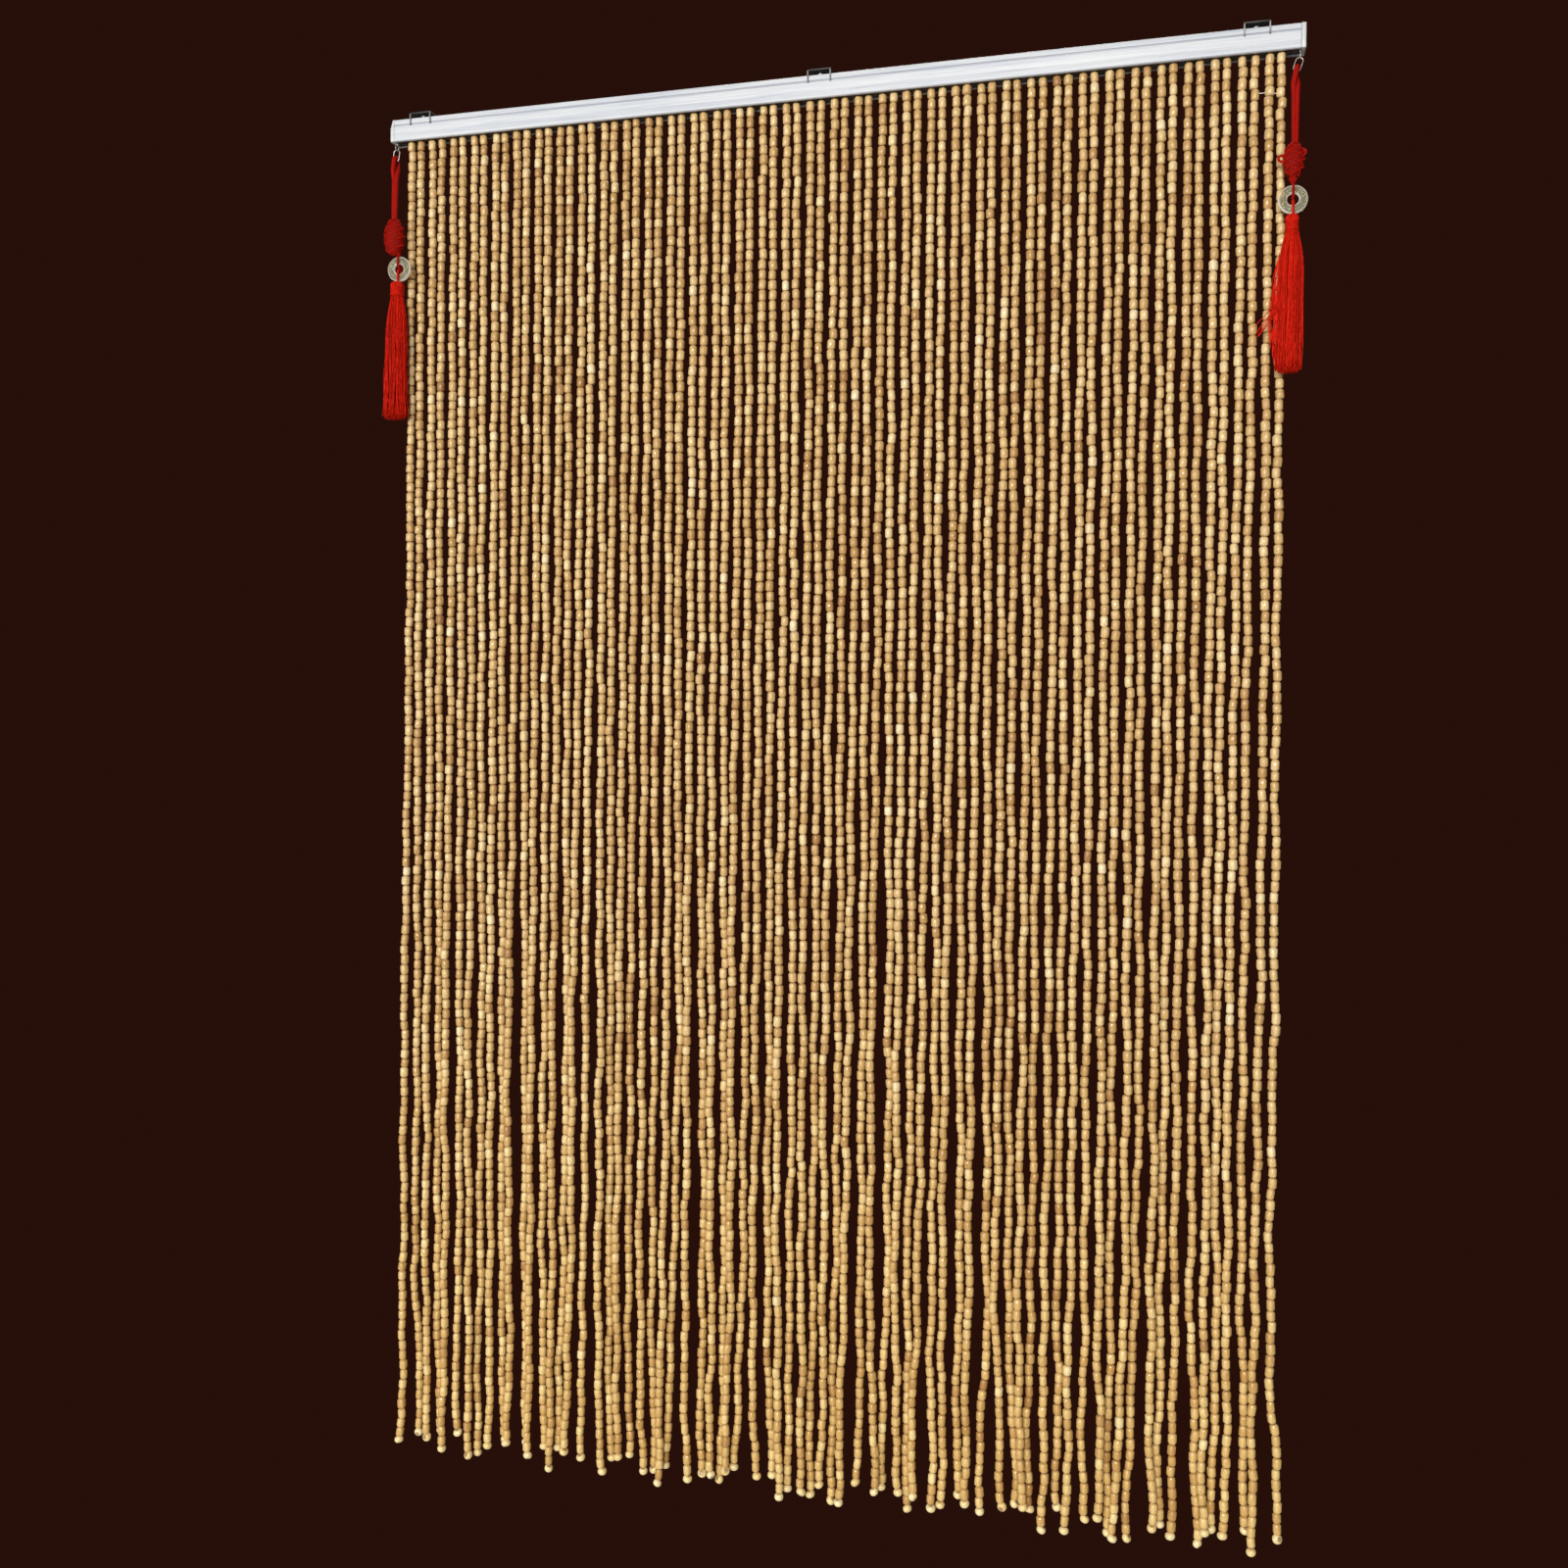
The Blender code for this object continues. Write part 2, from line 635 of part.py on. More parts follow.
def knot_mesh(name, place):
    """A rounded knot body with slanting ridges."""
    half_width, half_height = place["knot_half"]
    half_depth = half_width * KNOT_FLATNESS
    shape = bmesh.new()
    bmesh.ops.create_uvsphere(shape, u_segments=KNOT_SEGMENTS, v_segments=KNOT_RINGS, radius=1.0)
    for vertex in shape.verts:
        around = atan2(vertex.co.y, vertex.co.x)
        height = vertex.co.z
        weave = cos(KNOT_RIDGES * around + KNOT_RIDGE_TURNS * pi * height)
        swell = 1.0 + KNOT_RIDGE * weave * (1.0 - height ** 4)
        vertex.co = Vector((vertex.co.x * swell * half_width, vertex.co.y * swell * half_depth,
                            height * half_height))
    knot_x, knot_z = place["knot"]
    bmesh.ops.translate(shape, verts=shape.verts, vec=(knot_x, ORNAMENT_Y, knot_z))
    return mesh_from_bmesh(name, shape)


def ear_points(place, sideways, rise):
    """A small round loop at the knot's side."""
    knot_x, knot_z = place["knot"]
    centre = Vector((knot_x + sideways, ORNAMENT_Y, knot_z + rise))
    turns = [2 * pi * step / EAR_STEPS for step in range(EAR_STEPS)]
    return [centre + Vector((cos(turn), 0.0, sin(turn))) * EAR_RADIUS for turn in turns]


def ring_loop_points(place, upward):
    """A cord loop round the clear ring's band, above or below its hole."""
    ring_x, ring_z = place["ring"]
    middle = RING_OUTER - RING_BAND / 2
    centre = Vector((ring_x, ORNAMENT_Y, ring_z + upward * middle))
    tall = RING_BAND / 2 + GAP + CORD_RADIUS
    deep = RING_THICKNESS / 2 + GAP + CORD_RADIUS
    turns = [2 * pi * step / RING_LOOP_STEPS for step in range(RING_LOOP_STEPS)]
    return [centre + Vector((0.0, deep * cos(turn), tall * sin(turn))) for turn in turns]


def neck_points(place):
    """From inside the knot's lower end down to the top of the loop that holds the ring."""
    knot_x, knot_z = place["knot"]
    ring_x, ring_z = place["ring"]
    start = Vector((knot_x, ORNAMENT_Y, knot_z - place["knot_half"][1] * KNOT_NECK_SHARE))
    end = Vector((ring_x, ORNAMENT_Y, ring_z + RING_OUTER + GAP + CORD_RADIUS))
    return [start, start.lerp(end, 0.5), end]


def make_knot(side, place, parts, cutters, material):
    """The doubled cord, the knot with its ears and the loop that holds the ring."""
    name = f"knot_{side}"
    knot = add_object(name, knot_mesh(name, place), parts, material)
    cord = wire_mesh(f"{name}_cord", doubled_cord(place), LEG_RADIUS, resolution=1)
    boolean(knot, cord, "UNION", cutters)
    for sideways, rise in place["ears"]:
        ear = wire_mesh(f"{name}_ear", ear_points(place, sideways, rise), CORD_RADIUS, True, 1)
        boolean(knot, ear, "UNION", cutters)
    neck = wire_mesh(f"{name}_neck", neck_points(place), NECK_RADIUS, resolution=2)
    boolean(knot, neck, "UNION", cutters)
    loop = wire_mesh(f"{name}_loop", ring_loop_points(place, 1), CORD_RADIUS, True, 1)
    boolean(knot, loop, "UNION", cutters)


def make_ring(side, place, parts, material):
    """The clear ring, facing the viewer."""
    ring_x, ring_z = place["ring"]
    bpy.ops.mesh.primitive_torus_add(
        major_radius=RING_OUTER - RING_BAND / 2, minor_radius=RING_BAND / 2,
        major_segments=RING_STEPS, minor_segments=RING_SIDES)
    made = bpy.context.object
    mesh = made.data
    bpy.data.objects.remove(made)
    flatten = Matrix.Diagonal((1.0, 1.0, RING_THICKNESS / RING_BAND, 1.0))
    stand = Matrix.Rotation(pi / 2, 4, "X")
    mesh.transform(Matrix.Translation((ring_x, ORNAMENT_Y, ring_z)) @ stand @ flatten)
    shade_round(mesh)
    add_object(f"ring_{side}", mesh, parts, material)


def head_mesh(name, place):
    """The tassel's bound head: a rounded top, a waist and two bands of binding."""
    top = place["ring"][1] - RING_OUTER - GAP
    profile = [(HEAD_RADIUS * wide, top - HEAD_HEIGHT * down) for wide, down in HEAD_PROFILE]
    mesh = turned_mesh(name, profile, HEAD_STEPS)
    mesh.transform(Matrix.Translation((place["head_x"], ORNAMENT_Y, 0.0)))
    return mesh


def skirt_mesh(name, place, seed):
    """Every lock of the skirt: three-sided, narrow at the head and fuller at the foot."""
    rng = np.random.default_rng(seed)
    head_foot = place["ring"][1] - RING_OUTER - GAP - HEAD_HEIGHT
    top_z = head_foot + LOCK_ROOT_DEPTH
    foot_x, foot_z = place["foot"]
    shape = bmesh.new()
    for count, root_radius, foot_radius, root_width, foot_width in LOCK_RINGS:
        for lock in range(count):
            around = 2 * pi * (lock + 0.5) / count
            sway = rng.normal(0.0, LOCK_SWAY)
            shorter = rng.uniform(0.0, LOCK_RAGGED)
            rings = []
            for level in range(LOCK_LEVELS + 1):
                share = level / LOCK_LEVELS
                opening = share ** SKIRT_WIDTH_RISE
                radius = root_radius + (foot_radius * place["fullness"] - root_radius) * opening
                width = root_width + (foot_width - root_width) * opening
                turned = around + sway / max(radius, root_radius) * share
                middle = Vector((place["head_x"] + (foot_x - place["head_x"]) * share, ORNAMENT_Y,
                                 top_z + (foot_z + shorter - top_z) * share))
                outward = Vector((cos(turned), SKIRT_FLATNESS * sin(turned), 0.0))
                beside = Vector((-sin(turned), SKIRT_FLATNESS * cos(turned), 0.0))
                face = middle + outward * (radius + width * LOCK_OUTER_FACE)
                rings.append([
                    face + beside * width * LOCK_HALF_FACE,
                    face - beside * width * LOCK_HALF_FACE,
                    middle + outward * (radius - width * LOCK_INNER_EDGE),
                ])
            loft(shape, rings)
    return mesh_from_bmesh(name, shape)


def make_tassel(side, place, seed, parts, cutters, material):
    """A tassel: its head, the skirt's locks and the loop round the clear ring."""
    name = f"tassel_{side}"
    tassel = add_object(name, head_mesh(name, place), parts, material)
    boolean(tassel, skirt_mesh(f"{name}_skirt", place, seed), "UNION", cutters)
    loop = wire_mesh(f"{name}_loop", ring_loop_points(place, -1), CORD_RADIUS, True, 1)
    boolean(tassel, loop, "UNION", cutters)


def build():
    """Make the whole curtain."""
    clear_scene()
    parts = make_collection("bead_door_curtain")
    cutters = make_collection("cutters")
    surface = make_materials()
    make_headrail(parts, surface["rail"])
    for side in ("left", "right"):
        make_cap(side, parts, cutters, surface["cap"])
    for side in CLIP_X:
        make_clip(side, parts, cutters, surface["clip"])
        make_screw(side, parts, surface["screw"])
    make_bead_strings(parts, cutters, surface["bead"])
    for number, (side, place) in enumerate(ORNAMENTS.items()):
        make_eye(side, place, parts, surface["wire"])
        make_link(side, place, parts, surface["wire"])
        make_knot(side, place, parts, cutters, surface["red_cord"])
        make_ring(side, place, parts, surface["clear_ring"])
        make_tassel(side, place, LOCK_SEED + number, parts, cutters, surface["red_thread"])


build()
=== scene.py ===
from math import cos, pi, radians, sin

import bmesh
import bpy
import numpy as np
from mathutils import Matrix, Vector


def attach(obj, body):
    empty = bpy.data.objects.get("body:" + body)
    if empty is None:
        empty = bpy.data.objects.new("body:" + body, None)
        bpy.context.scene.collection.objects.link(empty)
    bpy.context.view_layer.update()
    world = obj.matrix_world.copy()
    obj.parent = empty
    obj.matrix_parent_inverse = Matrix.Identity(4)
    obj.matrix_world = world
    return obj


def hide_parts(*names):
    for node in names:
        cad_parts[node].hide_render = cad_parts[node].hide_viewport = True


# Bamboo bead door curtain, dressed. Metres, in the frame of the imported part: +Z up, +X right,
# the viewer on -Y, the strands in the plane y = 0 and the headrail's face at y = -0.009.

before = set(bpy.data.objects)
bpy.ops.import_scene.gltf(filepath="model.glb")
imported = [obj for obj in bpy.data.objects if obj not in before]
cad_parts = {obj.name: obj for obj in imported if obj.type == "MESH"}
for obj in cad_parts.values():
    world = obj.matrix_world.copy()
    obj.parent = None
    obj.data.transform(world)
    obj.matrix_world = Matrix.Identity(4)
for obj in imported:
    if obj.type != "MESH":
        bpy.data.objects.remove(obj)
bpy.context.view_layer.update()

# Camera: the photograph's place and angle, 1500 pixels of focal length in a 1600 pixel frame
CAMERA_PLACE = (0.31566, -1.39738, -0.67700)
CAMERA_YAW = 0.24018
CAMERA_PITCH = -0.00874
CAMERA_ROLL = 0.00774
CAMERA_LENS = 33.75
CAMERA_SENSOR = 36.0

# Headrail, caps, clips and screws, as in the part
GAP = 0.0003
RAIL_LENGTH = 0.900
RAIL_HEIGHT = 0.0225
RAIL_DEPTH = 0.018
RAIL_WALL = 0.0012
RAIL_LIP = 0.0015
RAIL_EDGE = 0.0016
RAIL_EDGE_STEPS = 8
HOLLOW_SHARES = (0.24, 0.28, 0.32, 0.36, 0.40)
HOLLOW_DEPTH = 0.00012
GROOVE_BELOW_TOP = 0.0062
GROOVE_HALF_HEIGHT = 0.0010
GROOVE_DEPTH = 0.0009
CAP_THICKNESS = 0.004
CAP_EDGE = 0.0007
CHAMFER_RUN = 0.0025
CHAMFER_DROP = 0.009
CAP_PLUG_LENGTH = 0.010
CAP_PLUG_HEIGHT = 0.010
CLIP_X = {"left": -0.416, "middle": 0.005, "right": 0.408}
CLIP_WIDTH = 0.0235
CLIP_PLATE = 0.0015
CLIP_HEADROOM = 0.0035
CLIP_LEG_WIDTH = 0.0014
CLIP_LEG_THICKNESS = 0.0011
CLIP_LEG_TAIL = 0.0014
CLIP_LEG_EDGE = 0.00025
NIB_DEPTH = 0.00045
SCREW_HEAD_RADIUS = 0.0040
SCREW_HEAD_HEIGHT = 0.0024
RECESS_REACH = 0.0023
RECESS_HALF_WIDTH = 0.00045
RECESS_DEPTH = 0.0009
RAIL_TOP = -(CLIP_PLATE + CLIP_HEADROOM)
RAIL_BOTTOM = RAIL_TOP - RAIL_HEIGHT
GROOVE_Z = RAIL_TOP - GROOVE_BELOW_TOP

# Strands, with the part's own values and random draws
PAIR_COUNT = 37
PAIR_PITCH = 0.0236
PAIR_SPREAD = 0.0104
PAIR_EVENS_OUT = 1.15
STRAND_DROP = 1.3455
STRAND_RAGGED = 0.022
STRIP_THICKNESS = 0.002
STRIP_OVERHANG = 0.0046
STRIP_Z = RAIL_BOTTOM + RAIL_WALL + GAP
STRAND_SEED = 11
LEVEL_COUNT = 14
LEVEL_CROWDING = 0.8
SWAY = 0.0015
SWAY_GROWTH = 1.2
FOOT_SWAY = 1.8
RIPPLE = 0.0006
TOUCHING_PITCH = 0.0079
CROSSED_PITCH = 0.0040
LANE = 0.0042
LANE_START = 0.55
LANE_END = 0.92
SETTLE_ROUNDS = 80

# Columns: centre x, depth where it starts, depth where it is widest, extra opening, reach
PARTINGS = (
    (-0.413, 0.45, 0.72, 0.0045, 0.016),
    (-0.367, 0.60, 0.85, 0.0055, 0.020),
    (-0.337, 0.85, 1.05, 0.0030, 0.016),
    (-0.226, 0.55, 1.05, 0.0080, 0.026),
    (-0.175, 0.60, 1.05, 0.0060, 0.020),
    (-0.150, 0.50, 1.10, 0.0070, 0.018),
    (-0.131, 0.80, 1.15, 0.0080, 0.018),
    (-0.113, 0.70, 1.20, 0.0060, 0.020),
    (0.031, 0.60, 1.00, 0.0035, 0.018),
    (0.067, 0.55, 0.95, 0.0035, 0.018),
    (0.137, 0.70, 1.10, 0.0035, 0.018),
    (0.170, 0.60, 1.10, 0.0045, 0.020),
    (0.411, 0.25, 0.60, 0.0045, 0.016),
)

# How much looser the strings of beads hang than the part's bars
LOOSE_SEED = 31
EXTRA_SWAY = 0.0012
EXTRA_SWAY_END = 1.25
EXTRA_FOOT_SWAY = 0.0048
FOOT_SWAY_START = 1.17
EVEN_PITCH = 0.0090
LOOSE_PITCH = 0.0064
STRAND_WAVE = 0.0040
WAVE_LENGTHS = (0.16, 0.075, 0.042)
LINE_STEPS = 420

# Beads, their strings and the end balls
BEAD_SEED = 23
BEAD_PITCH = 0.0101
BEAD_FLAT_WIDTH = 0.0069
BEAD_JOINT = 0.00020
BEAD_SIDES = 8
BEAD_PIECES = 5
BEAD_OFFSET = 0.00036
BEAD_LEAN = 0.040
TINT_SPREAD = 0.13
DARK_SHARE = 0.07
GLOSSY_SHARE = 0.10
BALL_WIDTH = 0.0090
BALL_HEIGHT = 0.0074
BALL_TILT = 0.6
BALL_ROWS = 9
BALL_STEPS = 14
STRING_RADIUS = 0.00045
CROSS_THREAD_RADIUS = 0.00035
STRIP_KNOT_RADIUS = 0.0008
STRIP_KNOT_HEIGHT = 0.0012

# A bead's rings from end to end
# Columns: place along the bead in shares of its length, width share, share of end darkening, which is partly
# the wood's darker ends and partly painted shade in the joints between beads
BEAD_RINGS = (
    (-0.50, 0.67, 1.0),
    (-0.33, 1.00, 0.0),
    (0.33, 1.00, 0.0),
    (0.50, 0.67, 1.0),
)

# Eyes, links, cords, rings and tassels
WIRE_RADIUS = 0.0006
EYE_RADIUS = 0.0031
EYE_SHANK = 0.0032
EYE_TURN = radians(326)
EYE_Y = -0.004
LINK_LENGTH = 0.0135
LINK_WIDTH = 0.0076
CORD_RADIUS = 0.0012
LEG_RADIUS = 0.0025
LEG_NARROWING = 0.76
LEG_OVERLAP = 0.60
LEG_TWIST_END = 0.30
PLY_PITCH = 0.0052
PLY_COUNT = 3
ORNAMENT_Y = -0.0135
RING_OUTER = 0.01275
RING_BAND = 0.0076
RING_THICKNESS = 0.0050
RING_SQUARENESS = 0.62
EAR_RADIUS = 0.0030
HEAD_HEIGHT = 0.0150
HEAD_THREADS = 44
HEAD_SEED = 41
BINDING_TURNS = 9
BINDING_RADIUS = 0.00048
SKIRT_FLATNESS = 0.6
SKIRT_THREADS = 300
SKIRT_SEED = 61
THREAD_RADIUS = 0.00042
GOLDEN_TURN = 2.39996

# Places are x and z, the lean is in degrees from straight down, a bulb of the knot is its place
# from the knot's middle, its half width and half height, an ear is its place from the knot's middle,
# and the skirt is its half width at even steps from its head to its foot
ORNAMENTS = {
    "left": {
        "eye_x": -0.4450, "link_lean": -8, "knot": (-0.4425, -0.1284), "ring": (-0.4363, -0.1620),
        "bulbs": ((0.0, -0.0004, 0.0114, 0.0202),),
        "ears": ((-0.0068, 0.0070), (-0.0055, -0.0110)), "head_radius": 0.0068,
        "head_x": -0.4388, "foot": (-0.4405, -0.3165),
        "skirt": (0.0056, 0.0102, 0.0117, 0.0124, 0.0130, 0.0136),
    },
    "right": {
        "eye_x": 0.4452, "link_lean": -18, "knot": (0.4409, -0.1313), "ring": (0.4396, -0.1643),
        "bulbs": ((-0.0010, 0.0022, 0.0098, 0.0166), (-0.0014, -0.0148, 0.0036, 0.0046)),
        "ears": ((-0.0110, 0.0044), (-0.0050, 0.0105), (0.0062, 0.0086)), "head_radius": 0.0057,
        "head_x": 0.4390, "foot": (0.4368, -0.3182),
        "skirt": (0.0056, 0.0105, 0.0115, 0.0118, 0.0118, 0.0117),
    },
}

# The tassel's head from its top to its foot
# Columns: share of the head's radius, share of its height
HEAD_PROFILE = (
    (0.05, 0.00), (0.45, 0.01), (0.72, 0.05), (0.90, 0.13), (0.98, 0.24), (0.96, 0.36),
    (0.88, 0.44), (0.90, 0.56), (0.90, 0.70), (0.94, 0.84), (0.98, 1.00), (0.80, 1.04), (0.05, 1.06),
)


# Shapes from arrays

class Shape:
    """Vertices, faces and vertex values gathered for one mesh."""

    def __init__(self):
        self.points = []
        self.faces = []
        self.values = {}
        self.count = 0

    def add(self, points, faces, **values):
        """Add points with their faces, an array for each number of corners."""
        points = np.asarray(points, float).reshape(-1, 3)
        self.points.append(points)
        self.faces.extend(np.asarray(part) + self.count for part in faces)
        for name, value in values.items():
            spread = np.broadcast_to(np.asarray(value, float).ravel(), (len(points),))
            self.values.setdefault(name, []).append(spread)
        self.count += len(points)

    def mesh(self, name):
        """One mesh of all that was added."""
        points = np.concatenate(self.points)
        corners = np.concatenate([part.ravel() for part in self.faces])
        sizes = np.concatenate([np.full(len(part), part.shape[1]) for part in self.faces])
        starts = np.concatenate(([0], np.cumsum(sizes)[:-1]))
        mesh = bpy.data.meshes.new(name)
        mesh.vertices.add(len(points))
        mesh.vertices.foreach_set("co", points.ravel())
        mesh.loops.add(len(corners))
        mesh.loops.foreach_set("vertex_index", corners.astype(np.int32))
        mesh.polygons.add(len(sizes))
        mesh.polygons.foreach_set("loop_start", starts.astype(np.int32))
        mesh.update(calc_edges=True)
        mesh.validate()
        for label, parts in self.values.items():
            layer = mesh.attributes.new(label, "FLOAT", "POINT")
            layer.data.foreach_set("value", np.concatenate(parts).astype(np.float32))
        return mesh


def link_object(name, data):
    """A new object in the scene."""
    item = bpy.data.objects.new(name, data)
    bpy.context.scene.collection.objects.link(item)
    return item


def face_outwards(mesh):
    """Turn every face of closed shells outwards."""
    shell = bmesh.new()
    shell.from_mesh(mesh)
    bmesh.ops.recalc_face_normals(shell, faces=shell.faces)
    shell.to_mesh(mesh)
    shell.free()


def place(name, shape, surface, node, sharp=None, outwards=False):
    """Put a shape or a mesh in the scene as a piece that rides on the part."""
    mesh = shape.mesh(name) if isinstance(shape, Shape) else shape
    if outwards:
        face_outwards(mesh)
    piece = link_object(name, mesh)
    material, slot = SURFACES[surface]
    mesh.materials.append(material)
    mesh.shade_smooth()
    if sharp is not None:
        mesh.set_sharp_from_angle(angle=radians(sharp))
    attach(piece, "root")
    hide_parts(node)


def unit(vectors):
    """Vectors at length one."""
    return vectors / np.maximum(np.linalg.norm(vectors, axis=-1, keepdims=True), 1e-12)


def circle(steps):
    """Even turns once round."""
    return 2 * pi * np.arange(steps) / steps


def squared(wave, power):
    """A wave from -1 to 1, made squarer by a power below one."""
    return np.sign(wave) * np.abs(wave) ** power


def distances(points):
    """How far along its path each point lies."""
    return np.concatenate(([0.0], np.cumsum(np.linalg.norm(np.diff(points, axis=0), axis=1))))


def on_line(line, along, spots):
    """Points of a line at distances along it."""
    return np.column_stack([np.interp(spots, along, line[:, axis]) for axis in range(3)])


def smooth_path(points, count, closed=False):
    """Points at even distances on a smooth curve through the given points."""
    points = np.asarray(points, float)
    if closed:
        points = np.vstack((points[-1], points, points[:2]))
    else:
        points = np.vstack((2 * points[0] - points[1], points, 2 * points[-1] - points[-2]))
    p0, p1, p2, p3 = (part[:, None] for part in (points[:-3], points[1:-2], points[2:-1], points[3:]))
    share = np.linspace(0.0, 1.0, 9)[:-1][None, :, None]
    curve = 0.5 * (2 * p1 + (p2 - p0) * share + (2 * p0 - 5 * p1 + 4 * p2 - p3) * share ** 2
                   + (3 * p1 - p0 - 3 * p2 + p3) * share ** 3)
    curve = np.vstack((curve.reshape(-1, 3), points[-2]))
    along = distances(curve)
    spots = np.linspace(0.0, along[-1], count + 1 if closed else count)
    return on_line(curve, along, spots[:-1] if closed else spots)


def path_sides(points, closed):
    """Two cross directions at each point of a path, without needless twist."""
    if closed:
        tangents = unit(np.roll(points, -1, axis=0) - np.roll(points, 1, axis=0))
    else:
        tangents = unit(np.gradient(points, axis=0))
    side = np.array((0.0, 1.0, 0.0) if abs(tangents[0][1]) < 0.9 else (1.0, 0.0, 0.0))
    sides = np.zeros_like(points)
    for spot, tangent in enumerate(tangents):
        side = side - tangent * side.dot(tangent)
        side = side / np.linalg.norm(side)
        sides[spot] = side
    if closed:
        first, last = sides[0], sides[-1]
        carried = unit(last - tangents[0] * last.dot(tangents[0]))
        error = np.arctan2(np.cross(first, carried).dot(tangents[0]), first.dot(carried))
        turn = (-error * np.arange(len(points)) / len(points))[:, None]
        sides = sides * np.cos(turn) + np.cross(tangents, sides) * np.sin(turn)
    return sides, np.cross(tangents, sides)


def shell_faces(count, sides, closed=False):
    """Four-cornered faces between rings of points, with a face over each end of an open row."""
    row, step = np.meshgrid(np.arange(count if closed else count - 1), np.arange(sides), indexing="ij")
    following = (row + 1) % count
    beside = (step + 1) % sides
    bands = np.stack((row * sides + step, row * sides + beside,
                      following * sides + beside, following * sides + step), axis=-1).reshape(-1, 4)
    ends = np.array([np.arange(sides)[::-1], np.arange(sides) + (count - 1) * sides])
    return [bands] if closed else [bands, ends]


def tube(shape, points, radius, sides=8, closed=False, **values):
    """A round tube along points; its radius may differ from point to point."""
    points = np.asarray(points, float)
    across, upward = path_sides(points, closed)
    turns = circle(sides)[None, :, None]
    radius = np.broadcast_to(np.asarray(radius, float), (len(points),))[:, None, None]
    ring = across[:, None] * np.cos(turns) + upward[:, None] * np.sin(turns)
    shape.add(points[:, None] + ring * radius, shell_faces(len(points), sides, closed), **values)


def plied_cord(shape, points, radius, closed=False, **values):
    """A twisted cord: plies turning round the points of a path."""
    radius = np.broadcast_to(np.asarray(radius, float), (len(points),))
    across, upward = path_sides(points, closed)
    along = distances(points)
    total = along[-1] + (np.linalg.norm(points[0] - points[-1]) if closed else 0.0)
    turns = total / PLY_PITCH
    if closed:
        turns = max(1, round(turns))
    for ply in range(PLY_COUNT):
        turn = (2 * pi * (along / total * turns + ply / PLY_COUNT))[:, None]
        offset = across * np.cos(turn) + upward * np.sin(turn)
        tube(shape, points + offset * radius[:, None] * 0.50, radius * 0.56, 6, closed, **values)


def turned(shape, profile, centre, steps, flat=1.0, **values):
    """Turn a profile of radius and height, listed top to bottom, about a vertical axis."""
    turns = circle(steps)
    rings = [np.column_stack((np.cos(turns) * radius, np.sin(turns) * radius * flat, np.full(steps, height)))
             for radius, height in reversed(profile)]
    shape.add(np.array(rings) + centre, shell_faces(len(rings), steps), **values)


def rounded_box(low, high, edge, steps=3):
    """A box with rounded edges."""
    low, high = Vector(low), Vector(high)
    box = bmesh.new()
    spot = Matrix.Translation((low + high) / 2) @ Matrix.Diagonal((*(high - low), 1.0))
    bmesh.ops.create_cube(box, size=1.0, matrix=spot)
    if edge > 0:
        bmesh.ops.bevel(box, geom=box.edges[:], offset=edge, segments=steps, profile=0.5, affect="EDGES")
    return box


def box_shape(*parts):
    """A shape of one or more bmesh bodies, which are freed."""
    shape = Shape()
    for part in parts:
        part.verts.index_update()
        faces = {}
        for face in part.faces:
            faces.setdefault(len(face.verts), []).append([vertex.index for vertex in face.verts])
        shape.add([tuple(vertex.co) for vertex in part.verts], [np.array(group) for group in faces.values()])
        part.free()
    return shape


# Materials

